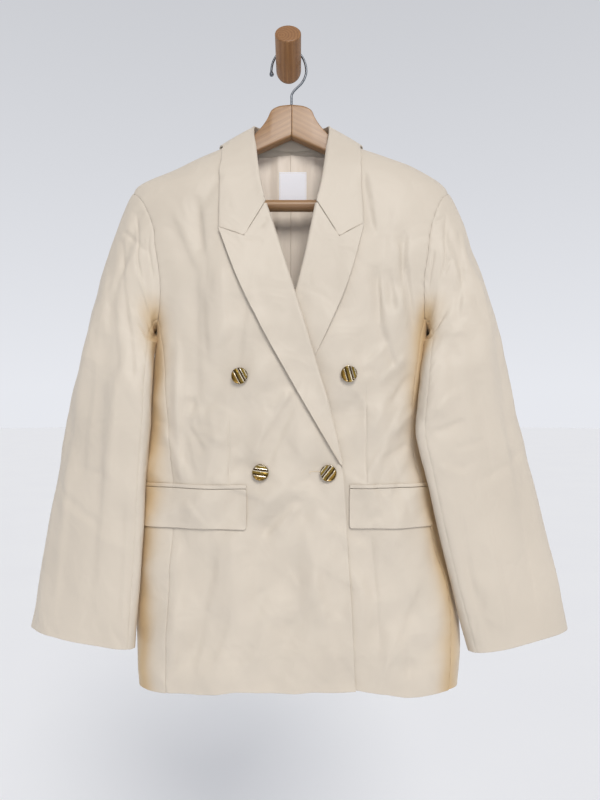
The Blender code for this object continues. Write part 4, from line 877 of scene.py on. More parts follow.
def painted_shade(points):
    """How much painted shade the cloth gets between the body and the sleeves, from 0 to 1."""
    x, y, z = split(points)
    gaps = split(arm_gap(np.clip(z, ARM_GAP[0][0], ARM_GAP[-1][0])))
    near_over, near_under = [np.exp(-(((x - gap) / PAINTED_SHADE_REACH) ** 2)) for gap in gaps]
    ahead = ease((y - PAINTED_SHADE_AHEAD[0]) / PAINTED_SHADE_AHEAD[1])
    behind = ease((PAINTED_SHADE_BEHIND[0] - y) / PAINTED_SHADE_BEHIND[1])
    below = ease((PAINTED_SHADE_TOP[0] - z) / PAINTED_SHADE_TOP[1])
    return np.maximum(near_over, near_under) * ahead * below * behind


def rounding(distance, radius):
    """How far a turned edge falls away at a distance from it."""
    inwards = np.clip(radius - distance, 0, radius)
    return radius - np.sqrt(radius**2 - inwards**2)


def grid_lengths(points):
    """Distances of a grid's points from its left, right, bottom and top edge."""
    along, up = distances(points, 1), distances(points, 0)
    return along, along[:, -1:] - along, up, up[-1:] - up


pucker_waves = waves(13, 8, 0.55 * PUCKER_LENGTH, 1.6 * PUCKER_LENGTH, 0.0, 0.5)


def edge_shape(points, edges, thickness):
    """How far a grid sinks into its sewn edges, and how far its free edges are rounded."""
    sunk, round_off = np.zeros(points.shape[:2]), np.zeros(points.shape[:2])
    left, right, bottom, top = grid_lengths(points)
    radius = 0.46 * thickness
    for number, (kind, distance, run) in enumerate(
        zip(edges, (left, right, bottom, top), (bottom, bottom, left, left))
    ):
        if kind == "free":
            round_off = np.maximum(round_off, rounding(distance, radius))
        if kind == "sewn":
            sunk += SEAM_DIP * np.exp(-((distance / SEAM_REACH) ** 2))
            fade = np.exp(-distance / PUCKER_REACH)
            sunk += PUCKER * fade * pucker_waves(run + 90 * number, distance * 0.3)
    return sunk, round_off


def cloth(name, place, u, v, edges, top=0.0, thickness=WALL, material=None, dip=None):
    """A wall of cloth whose points place(u, v, out) gives; edges are left, right, bottom, top."""
    u, v = np.asarray(u)[None, :], np.asarray(v)[:, None]
    points = place(u, v, np.zeros((v.size, u.size)) + top)
    sunk, round_off = edge_shape(points, edges, thickness)
    if dip is not None:
        sunk = sunk + dip(points)
    outer = place(u, v, top - sunk - round_off)
    inner = place(u, v, top - sunk - thickness + round_off)
    return wall(name, outer, inner, material or cotton_sateen)


def shell(name, middle, edges, thickness, material=None):
    """A wall of cloth on both sides of a grid of points."""
    _, round_off = edge_shape(middle, [kind and "free" for kind in edges], thickness)
    normal = unit(np.cross(np.gradient(middle, axis=0), np.gradient(middle, axis=1)))
    half = (thickness / 2 - round_off)[..., None]
    return wall(name, middle + normal * half, middle - normal * half, material or cotton_sateen)


# Panels ----------------------------------------------------------------------------------


def dart_shares(side, v):
    """Share of the way across a front where its dart's line runs, at every height."""
    x_dart = DARTS[side][0]
    high = np.linspace(*DART_ROWS, 12)[:, None]
    across = np.linspace(0, 1, 60)[None, :]
    x = front_patch(side, across, high)[..., 0] * -side
    found = [np.interp(-side * x_dart, row[::-1], across[0, ::-1]) for row in x]
    return np.interp(v, high[:, 0], found)


def front_columns(side, s, v, mark):
    """Columns that follow the dart: share s of 0 to 1 with the dart at the mark."""
    at = dart_shares(side, v)
    return np.where(s < mark, s * at / mark, 1 - (1 - s) * (1 - at) / (1 - mark))


def make_front(name, side):
    mark = float(dart_shares(side, np.array([0.45]))[0])
    x_dart, dart_top, dart_bottom = DARTS[side]

    def place(s, v, out):
        x, z = split(front_patch(side, front_columns(side, s, v, mark), v))
        return front(side, x, z, out)

    def dip(points):
        x, z = points[..., 0], points[..., 2]
        sewn = ease((dart_top - z) / DART_FADE) * ease((z - dart_bottom + 1) / 2)
        line = np.exp(-(((x - x_dart) / DART_LINE) ** 2))
        wide, high = DART_POINT
        full = np.exp(-(((x - x_dart) / wide) ** 2) - ((z - dart_top - 6) / high) ** 2)
        tall, half_width, depth = HEM_TURN
        turned = depth * np.exp(-(((z - hem_height(x)[..., 0] - tall) / half_width) ** 2))
        return DART_DIP * sewn * line - DART_FULLNESS * full + turned

    edges = ("free", "sewn", "free", "sewn")
    wide, tall = FRONT_GRID
    return cloth(name, place, spread(wide, (mark,)), spread(tall), edges, dip=dip)


def make_side(name, side):
    def place(u, v, out):
        share = SEAM_ENDS[0] + (SEAM_ENDS[1] - SEAM_ENDS[0]) * u
        high = armholes[side](share)[..., 1]
        z = SIDE_HEM + (high - SIDE_HEM) * v
        start = face_angle(seams[side](z)[..., 0] + side * SEAM / 2, z, 1)
        end = face_angle(back_seam_x(side, z) + side * SEAM / 2, z, -1, side)
        return torso(start + (end - start) * u, z, out)

    return cloth(name, place, *map(spread, SIDE_GRID), ("sewn", "sewn", "free", "sewn"))


def make_back(name, side):
    def place(u, v, out):
        x, z = split(back_patch(side, u, v))
        return back(x + side * SEAM / 2 * (u == 0), z, out)

    return cloth(name, place, *map(spread, BACK_GRID), ("sewn", "sewn", "free", "sewn"))


# Lapels and collar -----------------------------------------------------------------------


def roll_point(side, share):
    """X and Z on a roll line, from the break (0) to the gorge (1)."""
    low, high = ROLL_SHARES
    return free_edges[side](low + (high - low) * share)


def lapel_top(side, u):
    """The gorge seam and the closed notch, from the roll line to the peak."""
    start = roll_point(side, np.array(1.0))
    corner = np.array(GORGE_CORNER[0 if side < 0 else 1])
    end = lapel_edges[side](np.array(1.0))
    share = np.asarray(u)[..., None]
    gorge = start + (corner - start) * share / GORGE_SHARE
    notch = corner + (end - corner) * (share - GORGE_SHARE) / (1 - GORGE_SHARE)
    return np.where(share < GORGE_SHARE, gorge, notch)


def lapel_place(side, u, v):
    start, end = roll_point(side, v), lapel_edges[side](v)
    share = u[..., None]
    straight = start + (end - start) * share
    one = np.array(1.0)
    top_straight = roll_point(side, one) * (1 - share) + lapel_edges[side](one) * share
    bend = np.maximum((v - 1 + LAPEL_TURN) / LAPEL_TURN, 0.0)[..., None] ** TURN_POWER
    return straight + (lapel_top(side, u) - top_straight) * bend


def make_lapel(name, side):
    """The facing: behind the front's edge, round the roll line and out to the free edge."""
    below, above, thickness = -CLOTH - SEAM, SEAM, LAPEL_CLOTH
    rows = spread(LAPEL_GRID[1])[:, None]
    start = roll_point(side, rows)
    run = unit(roll_point(side, np.minimum(rows + 0.01, 1)) - roll_point(side, rows - 0.01))
    across = join(run[..., 1], -run[..., 0]) * side
    width = (FACING * (FACING_START + (1 - FACING_START) * ease(rows / FACING_RUN)))[..., None]
    shares = spread(LAPEL_GRID[0], (GORGE_SHARE,))
    shares = shares[shares > 0.02][None, :]
    grids = []
    for layer in (1, 0):
        places, outs = [], []
        for leg in FACING_LEGS:
            places.append(start + across * width * leg)
            outs.append(below - layer * thickness + 0 * rows)
        radius = (above - below) / 2 + layer * thickness
        for turn in np.linspace(-math.pi / 2, -1.5 * math.pi, 9):
            places.append(start + across * math.cos(turn) * radius)
            outs.append((above + below) / 2 + math.sin(turn) * radius + 0 * rows)
        fold = np.concatenate(places, axis=1)
        out = np.concatenate(outs, axis=1)
        face = lapel_place(side, shares, rows)
        start_lift, end_lift = UNDER_LIFTS
        proud = ease((face[..., 1] - start_lift) / (end_lift - start_lift)) if side > 0 else 1.0
        lift = LAPEL_LIFT[side] * shares**2 * (proud + 0 * rows)
        spots = np.concatenate([fold, face], axis=1)
        out = np.concatenate([out, above + layer * thickness + lift], axis=1)
        grids.append((spots, out))
    spots, out = grids[0]
    points = front(side, *split(spots), out)
    _, round_off = edge_shape(points, (None, "free", "free", "free"), thickness)
    outer = front(side, *split(spots), out - round_off)
    spots, out = grids[1]
    inner = front(side, *split(spots), out + round_off)
    return wall(name, outer, inner, cotton_sateen)


def collar_tilt(side, place):
    return COLLAR_END_TILT * ease((place - TILT_START) / (1 - TILT_START)) * side


def collar_lines(side, place):
    """The neck seam, the fold and the free edge of the collar at places along it."""
    neck = torso(*split(necks[side](place)), -CLOTH / 2)
    half, y, z = split(collar_fold(place))
    angle, height = split(collar_edges[side](place))
    return neck, join(BODY_CENTRE + side * half, y, z), angle, height + collar_tilt(side, place)


def collar_fall(side, place, share):
    """Points of the collar's fall, from beside the fold (0) to the free edge (1)."""
    neck, fold, angle, height = collar_lines(side, place)
    stand_off = LAID_GAP + COLLAR_CLOTH / 2 + COLLAR_LIFT * share**2
    edge = torso(angle + 0 * share, height + 0 * share, stand_off + 0 * place)
    part = share[..., None]
    start = fold + unit(edge - fold) * COLLAR_FOLD_RADIUS
    bulge = FALL_BULGE * np.sin(math.pi * part)
    hung = start + (edge - start) * part + unit(start + edge - 2 * neck) * bulge
    one = np.array(1.0)
    start_row = roll_point(side, one)[0] + side * COLLAR_FOLD_RADIUS
    end_place = surface_place(*split(collar_edges[side](one))) + (0, collar_tilt(side, one))
    straight = join(start_row, GORGE_TOP) * (1 - part) + end_place * part
    end_row = np.maximum((place - 1 + COLLAR_TURN) / COLLAR_TURN, 0.0)[..., None] ** TURN_POWER
    start_place = start[..., (0, 2)]
    spot = start_place + (surface_place(angle, height) - start_place) * part
    spot = spot + (lapel_top(side, share) + (0, COLLAR_END_GAP) - straight) * end_row
    laid = front(side, *split(spot), stand_off + 0 * place)
    first, last = COLLAR_LAID
    return hung + (laid - hung) * ease((place - first) / (last - first))[..., None]


def resampled(lines, count):
    """Points along smooth curves through the control points of axis 1."""
    step = np.linalg.norm(np.diff(lines, axis=1), axis=-1).mean(axis=0)
    at = np.concatenate([[0], np.cumsum(np.sqrt(step))])
    at /= at[-1]
    slope = np.gradient(lines, at, axis=1)
    t = np.linspace(0, 1, count)
    row = np.clip(np.searchsorted(at, t) - 1, 0, len(at) - 2)
    gap = (at[row + 1] - at[row])[None, :, None]
    s = (t[None, :, None] - at[row][None, :, None]) / gap
    leave, arrive = slope[:, row] * gap, slope[:, row + 1] * gap
    return cubic(lines[:, row], lines[:, row + 1], leave, arrive, s)


def make_collar():
    """One band: the stand up from the neck seam, over the fold and down to the free edge."""
    bands = []
    for side in (-1, 1):
        place = (1 - spread(COLLAR_GRID[0], step=COLLAR_STEP))[:, None]
        neck, fold, _, _ = collar_lines(side, place)
        tall = np.linalg.norm(fold - neck, axis=-1, keepdims=True)
        stand = unit(fold - neck)
        start = collar_fall(side, place, np.array([[0.0]]))
        fall = unit(collar_fall(side, place, np.array([[0.3]])) - start)
        path = unit(np.cross(stand, fall))
        across = unit(np.cross(path, stand))
        across = across * np.where((across * fall).sum(-1, keepdims=True) < 0, -1, 1)
        below, most = FOLD_BELOW
        line = [neck + stand * np.minimum(STAND_START, 0.5 * tall)]
        line += [neck + stand * STAND_MIDDLE * tall, fold - stand * np.minimum(below, most * tall)]
        line += [fold + stand * FOLD_OVER[0] + across * FOLD_OVER[1]]
        line += [start + stand * FOLD_BESIDE[0] + across * FOLD_BESIDE[1]]
        line += [collar_fall(side, place, np.array([FALL_SHARES]))]
        band = resampled(np.concatenate(line, axis=1), COLLAR_GRID[1])
        bands.append(band if side < 0 else band[::-1])
    whole = np.concatenate([bands[0], bands[1][1:]])
    return shell("fine_collar", whole, ALL_FREE, COLLAR_CLOTH)


# Sleeves ---------------------------------------------------------------------------------


def ring_curve(rows):
    last = len(rows) - 1
    return smooth([(number / last, *sizes) for number, sizes in enumerate(rows)])


sleeve_rings = {-1: ring_curve(OVER_SLEEVE), 1: ring_curve(UNDER_SLEEVE)}


def sleeve_ring(side, turn, share):
    """A point of the free sleeve: turn 0 is its outer edge, 0.25 its front, 0.5 its inner edge."""
    sizes = sleeve_rings[side](share)
    outer, inner, half_depth = sizes[..., :3], sizes[..., 3:6], sizes[..., 6:]
    middle, across = (outer + inner) / 2, (outer - inner) / 2
    below = sleeve_rings[side](np.minimum(share + 0.01, 1.0))
    above = sleeve_rings[side](np.maximum(share - 0.01, 0.0))
    down = unit(below[..., :3] + below[..., 3:6] - above[..., :3] - above[..., 3:6])
    ahead = unit(np.cross(across, down))
    ahead = ahead * np.where(ahead[..., 1:2] > 0, -1, 1)
    angle = (2 * math.pi * turn)[..., None]
    wide, deep = [power(part, 2 / SLEEVE_ROUNDNESS) for part in (np.cos(angle), np.sin(angle))]
    return middle + across * wide + ahead * half_depth * deep


def armhole_leave(side, turn):
    """The way in which the sleeve leaves its armhole."""
    over = np.cos(2 * math.pi * turn)
    ahead = np.sin(2 * math.pi * turn)
    down = LEAVE_SHOULDER * np.maximum(over, 0) + LEAVE_UNDERARM * np.maximum(-over, 0)
    return unit(join(side, -LEAVE_AHEAD * ahead, -down))


def sleeve_relief(side, turn, share):
    wide, tall = SLEEVE_GRID
    around, along = turn * wide + 300 * side, share * tall
    from_seam = np.abs((turn - HIND_SEAM + 0.5) % 1.0 - 0.5)
    slow, fine = SLEEVE_WAVES
    rise = slow * cloth_waves(around, along) + fine * fine_waves(around, along)
    head, seam = SLEEVE_CALM
    rise = rise * ease(share / head) * ease(from_seam / seam)
    for which, turn0, share0, turn1, share1, half_width, height in SLEEVE_FOLDS + SLEEVE_CREASES:
        if which != side:
            continue
        if abs(share1 - share0) > abs(turn1 - turn0):
            along = (share - share0) / (share1 - share0)
            off = turn - (turn0 + (turn1 - turn0) * np.clip(along, 0, 1))
        else:
            along = (turn - turn0) / (turn1 - turn0)
            off = (share - (share0 + (share1 - share0) * np.clip(along, 0, 1))) * 1.5
        off = (off + 0.5) % 1.0 - 0.5
        over, fading = SLEEVE_CREASE_ENDS
        fade = ease((along + over) / fading) * ease((1 + over - along) / fading)
        rise = rise + height * fade * np.exp(-((off / half_width) ** 2))
    return rise


def sleeve_skin(side, turn, share):
    """A point of the sleeve's face: share 0 is at the armhole, 1 at the cuff."""
    t = np.clip(share / SLEEVE_HEAD_SHARE, 0, 1)[..., None]
    leave = armhole_leave(side, turn)
    start = torso(*split(armholes[side](turn % 1.0))) + leave * SLEEVE_START
    end = sleeve_ring(side, turn, np.zeros_like(share))
    arrive = unit(sleeve_ring(side, turn, 0.05 + 0 * share) - end)
    reach = np.linalg.norm(end - start, axis=-1, keepdims=True)
    over = np.maximum(np.cos(2 * math.pi * turn), 0)[..., None]
    leave = leave * reach * (HEAD_LEAVES - HEAD_LEAVES_LESS * over)
    arrive = arrive * reach * (HEAD_MEETS - HEAD_MEETS_LESS * over)
    head = cubic(start, end, leave, arrive, t)
    free = np.clip((share - SLEEVE_HEAD_SHARE) / (1 - SLEEVE_HEAD_SHARE), 0, 1)
    return np.where((share < SLEEVE_HEAD_SHARE)[..., None], head, sleeve_ring(side, turn, free))


def make_sleeve(name, side, first, last):
    """A part of a sleeve between two of its seams."""

    def place(u, v, out):
        turn, step = first + (last - first) * u, 1e-3
        here = sleeve_skin(side, turn, v)
        around = sleeve_skin(side, turn + step, v) - sleeve_skin(side, turn - step, v)
        low, high = np.minimum(v + step, 1.0), np.maximum(v - step, 0.0)
        along = sleeve_skin(side, turn, low) - sleeve_skin(side, turn, high)
        normal = unit(np.cross(around, along)) * side
        ticks = ridges(SLEEVE_TICKS[side], here[..., 0], here[..., 2])
        rise = sleeve_relief(side, turn, v) + ticks * ease(3 * np.sin(2 * math.pi * turn))
        return here + normal * (out + rise)[..., None]

    wide, tall = SLEEVE_GRID
    edges = ("sewn", "sewn", "sewn", "free")
    return cloth(name, place, spread(wide * (last - first)), spread(tall), edges)


# Small cloth pieces ----------------------------------------------------------------------


def make_strip(name, side, ends, bottom, top, base, corner=0.0, lift=0.0):
    """A flat strip on a front, with rounded lower corners."""
    start, end = ends
    width = end - start

    def place(u, v, out):
        x = start + width * u
        low = bottom + (rounding(np.minimum(x - start, end - x), corner) if corner else 0.0)
        return front(side, x, low + (top - low) * v, out + lift * (1 - v) ** 2)

    columns = spread(width, step=STRIP_STEP)
    if corner:
        near = corner * np.linspace(0.05, 1, 12) / width
        columns = np.unique(np.round(np.concatenate([columns, near, 1 - near]), 5))
    return cloth(name, place, columns, spread(top - bottom, step=STRIP_STEP), ALL_FREE, base + WALL)


def lining_creases(x, z):
    """Pressed pleats and soft creases that run down the lining from the neck."""
    rise = 0.0
    for at, lean, half_width, height in LINING_CREASES:
        away = x - at - lean * (z - LINING_TOP)
        rise = rise + height * np.exp(-((away / half_width) ** 2))
    return rise - PLEAT_FALL * ease(x - PLEAT_X) + 0.25 * cloth_waves(x * 2.2, z * 0.6)


def make_lining():
    def place(u, v, out):
        less, start = LINING_NARROWS
        x = BODY_CENTRE + LINING_SIDE * (2 * u - 1) * (1 - less * ease((v - start) / 0.2))
        top = LINING_TOP - LINING_TOP_DROP * np.abs(2 * u - 1)
        z = LINING_BOTTOM + (top - LINING_BOTTOM) * v
        return back(x, z, out + lining_creases(x, z))

    wide = 2 * LINING_SIDE
    pleat = (PLEAT_X - BODY_CENTRE + LINING_SIDE) / wide
    columns, rows = spread(wide, (pleat,), LINING_STEP), spread(LINING_TOP - LINING_BOTTOM)
    edges = ("free", "free", "free", "sewn")
    top = -CLOTH - LINING_GAP
    return cloth("fine_lining", place, columns, rows, edges, top, LINING_THIN, lining_satin)


def label_bend(u, v):
    """How the label stands off the lining below and waves across."""
    return -0.5 * ease(1 - v) + 0.25 * np.sin(5 * u)


def make_label():
    def place(u, v, out):
        x = LABEL_CENTRE[0] + LABEL_SIZE[0] * (u - 0.5)
        z = LABEL_CENTRE[1] + LABEL_SIZE[1] * (v - 0.5)
        return back(x, z, out + label_bend(u, v))

    columns, rows = [spread(size, step=LABEL_STEP) for size in LABEL_SIZE]
    return cloth("fine_label", place, columns, rows, ALL_FREE, LABEL_BASE, LABEL_THIN, label_tape)


# Turned and swept pieces -----------------------------------------------------------------


def skin(name, rings, material, grain=None):
    """A closed skin over rows of rings, whose first and last rows are single points."""
    rows, columns = rings.shape[:2]
    points = np.concatenate([rings[:1, 0], rings[1:-1].reshape(-1, 3), rings[-1:, 0]])
    index = 1 + np.arange((rows - 2) * columns).reshape(rows - 2, columns)
    after = np.roll(index, -1, axis=1)
    squares = np.stack([index[:-1], after[:-1], after[1:], index[1:]], -1).reshape(-1, 4)
    last = len(points) - 1
    faces = squares.tolist()
    faces += [[0, far, near] for near, far in zip(index[0].tolist(), after[0].tolist())]
    faces += [[last, near, far] for near, far in zip(index[-1].tolist(), after[-1].tolist())]
    made = add_object(name, points, faces, material)
    shape = bmesh.new()
    shape.from_mesh(made.data)
    bmesh.ops.recalc_face_normals(shape, faces=shape.faces)
    shape.to_mesh(made.data)
    shape.free()
    if grain is not None:
        layer = made.data.attributes.new("grain", "FLOAT_VECTOR", "POINT")
        layer.data.foreach_set("vector", (grain(points) * MM).astype(np.float32).ravel())
    return made


def circles(centres, across, up, radii, sides):
    """Rings round centres, in the plane of across and up: one for all rings, or one for each."""
    turn = np.linspace(0, 2 * math.pi, sides, endpoint=False)[None, :, None]
    across, up = [np.atleast_2d(axis)[:, None] for axis in (across, up)]
    wide = across * np.cos(turn) + up * np.sin(turn)
    return centres[:, None] + wide * np.asarray(radii, float)[:, None, None]


def make_button(name, x, z, ridge_turn):
    """A domed metal button, its face ribbed one way inside a thin rim."""
    side = 1 if name == "button_upper_left" else -1
    base = front(side, np.array(x), np.array(z))
    facing = unit(front(side, np.array(x), np.array(z), 1.0) - base)
    across = unit(np.cross(facing, (0.0, 0.0, 1.0)))
    up = np.cross(facing, across)
    inside = np.linspace(0, BUTTON_FACE, FACE_RINGS)
    profile = [(r, BUTTON_DOME[0] - BUTTON_DOME[1] * (r / BUTTON_FACE) ** 2) for r in inside]
    profile += list(BUTTON_RIM)
    radii, heights = np.array(profile).T
    rings = circles(base + facing * heights[:, None], across, up, radii, BUTTON_SIDES)
    spots = (rings - base) @ np.stack([across, up]).T
    turned = spots @ np.array((-math.sin(ridge_turn), math.cos(ridge_turn)))
    on_face = np.arange(len(radii)) < FACE_RINGS
    face = (ease((BUTTON_FACE - radii) / 0.5) * on_face)[:, None]
    sway, turns = RIDGE_SWAY
    slant = (turned / RIDGE_PITCH + sway * np.sin(turned * turns)) % 1.0
    slope, steep = RIDGE_SIDES
    groove = ease(slant / slope) - ease((slant - slope) / steep)
    boss = np.exp(-((np.linalg.norm(spots, axis=-1) / BUTTON_BOSS) ** 2)) * face
    depth = RIDGE_DEPTH * face * groove * (1 - boss) - BOSS_DEPTH * boss
    rings = rings - facing * depth[..., None]
    made = skin("fine_" + name, rings, gilt_metal)
    # the middle boss and the rim's edge take the cream of a painted highlight
    share = 0.5 + 0.5 * turned / BUTTON_RADIUS
    painted_highlight = np.maximum(boss, 1 - ease((BUTTON_RADIUS - RIM_HIGHLIGHT_WIDTH - radii) / 0.3)[:, None])
    share = share + (HIGHLIGHT_BAND - share) * painted_highlight
    values = np.concatenate([share[:1, 0], share[1:-1].ravel(), share[-1:, 0]])
    layer = made.data.attributes.new("band", "FLOAT", "POINT")
    layer.data.foreach_set("value", values.astype(np.float32))
    return made


def leaned(x, z, ahead=0.0):
    """A point of the hanger's middle plane, which leans out below the hook's contact."""
    y = HOOK_Y - math.tan(HANGER_LEAN) * (hook_top - z)
    return join(x, y - ahead, z)


hook_top = -HOOK_Y * math.tan(PEG_TILT) + PEG_RADIUS / math.cos(PEG_TILT)
hook_top += (WIRE / 2 + 1.5 * SEAM) / math.cos(PEG_TILT)
HANGER_X = BODY_CENTRE - 0.2


def make_hook():
    """Bent wire: a knob at its tip, the arch over the peg and a neck down into the wood."""
    centre_x, centre_z = HOOK_CENTRE
    rise = hook_top - centre_z
    turn = np.radians(np.linspace(HOOK_TIP, 0, 25))
    height = np.where(np.sin(turn) > 0, rise, HOOK_RADIUS)
    path = list(zip(centre_x + HOOK_RADIUS * np.cos(turn), centre_z + height * np.sin(turn)))
    path += [*HOOK_NECK, (HANGER_X, HOOK_NECK_TOP), (HANGER_X, HANGER_TOP + SEAM + 0.2)]
    path = np.array(path)
    at = distances(path, 0)
    curve = smooth([(s, *point) for s, point in zip(at, path)])
    far = at[-1]
    knob, knob_radius = np.array(HOOK_KNOB).T
    even = np.linspace(9, far - 0.2, HOOK_ROWS)
    shares = np.concatenate([knob, even, [far, far]])
    radii = np.concatenate([knob_radius, np.full(HOOK_ROWS, HOOK_WIRE), [HOOK_WIRE - 0.2, 0.0]])
    centres = leaned(*split(curve(shares)))
    ends = curve(shares + 0.05) - curve(np.maximum(shares - 0.05, 0))
    way = unit(join(ends[:, 0], -ends[:, 1] * math.tan(-HANGER_LEAN), ends[:, 1]))
    across = unit(np.cross(way, (0.0, 1.0, 0.0)))
    return skin("fine_hook", circles(centres, across, np.cross(way, across), radii, 28), steel_wire)


def rounded_section(tall, deep, radius, count=7):
    """Height and depth of a rounded rectangle's corners, as points of one ring."""
    spots = []
    for quarter, (high, ahead) in enumerate(((1, 1), (-1, 1), (-1, -1), (1, -1))):
        angle = np.linspace(0, math.pi / 2, count) + quarter * math.pi / 2
        height = high * (tall - radius) + radius * np.cos(angle)
        spots.append(join(height, ahead * (deep - radius) + radius * np.sin(angle)))
    return np.concatenate(spots)


def make_hanger_half(name, side):
    """Half of the board, cut square at the middle, where the halves are glued."""
    top, bottom = [
        smooth([(number, *place) for number, place in enumerate(line)])
        for line in (HANGER_LINE_TOP, HANGER_LINE_BOTTOM)
    ]
    last = len(HANGER_LINE_TOP) - 1
    even = np.linspace(0.15, last - 0.25, BOARD_ROWS)
    at = np.concatenate([[0, 0, 0.02, 0.06], even, [last, last]])
    upper, lower = top(at), bottom(at)
    shrink = np.concatenate([[0, 0.96, 0.99, 1], np.ones(BOARD_ROWS), [0.7, 0]])
    middle, half = (upper + lower) / 2, (upper - lower) / 2
    tall = np.linalg.norm(half, axis=-1) * shrink
    up = unit(half)
    rings = []
    for row in range(len(at)):
        deep = max(BOARD / 2 * shrink[row], 1e-3)
        radius = min(BOARD_CORNER, max(tall[row] * 0.9, 1e-3), deep)
        spots = rounded_section(max(tall[row], 1e-3), deep, radius)
        x = middle[row, 0] + up[row, 0] * spots[:, 0]
        z = middle[row, 1] + up[row, 1] * spots[:, 0]
        rings.append(leaned(HANGER_X + side * (x + GLUE_LINE), z, spots[:, 1]))

    def grain(points):
        x, y, z = split(points)
        x = (x - HANGER_X) * side
        along = x * math.cos(GRAIN_TURN) - z * math.sin(GRAIN_TURN)
        return join(along + 300 * side, x * math.sin(GRAIN_TURN) + z * math.cos(GRAIN_TURN), y)

    return skin(name, np.array(rings), beech, grain)


def make_bar():
    """A turned bar between the arms, with its edges broken."""
    end = BAR_END - SEAM
    inset, thinner = np.array(BAR_BREAK).T
    even = np.linspace(-end + 6, end - 6, BAR_ROWS)
    along = np.concatenate([inset - end, even, end - inset[::-1]])
    radii = BAR_RADIUS - np.concatenate([thinner, np.zeros(BAR_ROWS), thinner[::-1]])
    centres = leaned(HANGER_X + along, np.full(len(along), BAR_HEIGHT))
    rings = circles(centres, (0.0, 1.0, 0.0), (0.0, 0.0, 1.0), radii, 48)
    return skin("fine_bar", rings, beech, lambda points: points - (0, 0, BAR_HEIGHT - BAR_GRAIN))


def make_peg():
    """A dowel cut on the slant where it meets the wall, its front edge broken."""
    way = np.array((0.0, -math.cos(PEG_TILT), math.sin(PEG_TILT)))
    across = np.array((1.0, 0.0, 0.0))
    up = np.cross(way, across)
    along = np.concatenate([[0, 0], np.linspace(4, PEG_LENGTH - PEG_ROUNDING, 20)])
    radii = [0.0] + [PEG_RADIUS] * (len(along) - 1)
    for turn in np.radians(np.linspace(15, 90, 6)):
        along = np.append(along, PEG_LENGTH - PEG_ROUNDING * (1 - math.sin(turn)))
        radii.append(PEG_RADIUS - PEG_ROUNDING * (1 - math.cos(turn)))
    for share in (0.6, 0.3, 0.0):
        along = np.append(along, PEG_LENGTH)
        radii.append((PEG_RADIUS - PEG_ROUNDING) * share)
    rings = circles(way * along[:, None], across, up, radii, 64)
    rings[1] = rings[2] - way * along[2]
    rings[1] += way * (rings[1][:, 1] / math.cos(PEG_TILT))[:, None]
    whole = 14  # the first ring that the slanted cut doesn't reach
    for row in range(2, whole):
        rings[row] = rings[1] + (rings[whole] - rings[1]) * ((row - 1) / (whole - 1))
    rings[0] = rings[1].mean(axis=0)

    def grain(points):
        return join(points @ way, points @ across, points @ up) + PEG_GRAIN

    return skin("fine_peg", rings, oiled_wood, grain)


# Stitches --------------------------------------------------------------------------------


def stitch_tree(material):
    """Geometry Nodes that lay one stitch at every step along a path, in the way it gives."""
    tree = bpy.data.node_groups.new("stitches", "GeometryNodeTree")
    face = tree.interface
    face.new_socket("Path", in_out="INPUT", socket_type="NodeSocketGeometry")
    for socket in ("Spacing", "Stitch Length", "Thread Radius"):
        face.new_socket(socket, in_out="INPUT", socket_type="NodeSocketFloat")
    face.new_socket("Seed", in_out="INPUT", socket_type="NodeSocketInt")
    face.new_socket("Stitches", in_out="OUTPUT", socket_type="NodeSocketGeometry")
    given = add_node(tree, "NodeGroupInput").outputs
    path = add_node(tree, "GeometryNodeMeshToCurve", (), {"Mesh": given["Path"]})
    steps = {"Curve": path, "Length": given["Spacing"]}
    stops = add_node(tree, "GeometryNodeResampleCurve", {"mode": "LENGTH"}, steps)
    ball = {"Segments": 8, "Rings": 6, "Radius": given["Thread Radius"]}
    thread = add_node(tree, "GeometryNodeMeshUVSphere", (), ball)
    sizes = {0: given["Stitch Length"], 1: given["Thread Radius"]}
    thick = add_node(tree, "ShaderNodeMath", {"operation": "DIVIDE"}, sizes)
    halved = add_node(tree, "ShaderNodeMath", {"operation": "MULTIPLY"}, {0: thick, 1: 0.5})
    scale = add_node(tree, "ShaderNodeCombineXYZ", (), {"X": 1.0, "Y": 1.0, "Z": halved})
    way = add_node(
        tree, "GeometryNodeInputNamedAttribute", {"data_type": "FLOAT_VECTOR"}, {"Name": "way"}
    )
    wobble = add_node(
        tree,
        "FunctionNodeRandomValue",
        {"data_type": "FLOAT_VECTOR"},
        {0: (-STITCH_SWAY,) * 3, 1: (STITCH_SWAY,) * 3, "Seed": given["Seed"]},
    )
    sides = {0: way.outputs["Attribute"], 1: wobble.outputs["Value"]}
    uneven = add_node(tree, "ShaderNodeVectorMath", {"operation": "ADD"}, sides)
    turn = add_node(tree, "FunctionNodeAlignRotationToVector", {"axis": "Z"}, {"Vector": uneven})
    laying = {"Points": stops, "Instance": thread, "Rotation": turn, "Scale": scale}
    laid = add_node(tree, "GeometryNodeInstanceOnPoints", (), laying)
    real = add_node(tree, "GeometryNodeRealizeInstances", (), {"Geometry": laid})
    round_shade = add_node(tree, "GeometryNodeSetShadeSmooth", (), {"Geometry": real})
    dyed = {"Geometry": round_shade, "Material": material}
    coloured = add_node(tree, "GeometryNodeSetMaterial", (), dyed)
    add_node(tree, "NodeGroupOutput", (), {"Stitches": coloured})
    return tree


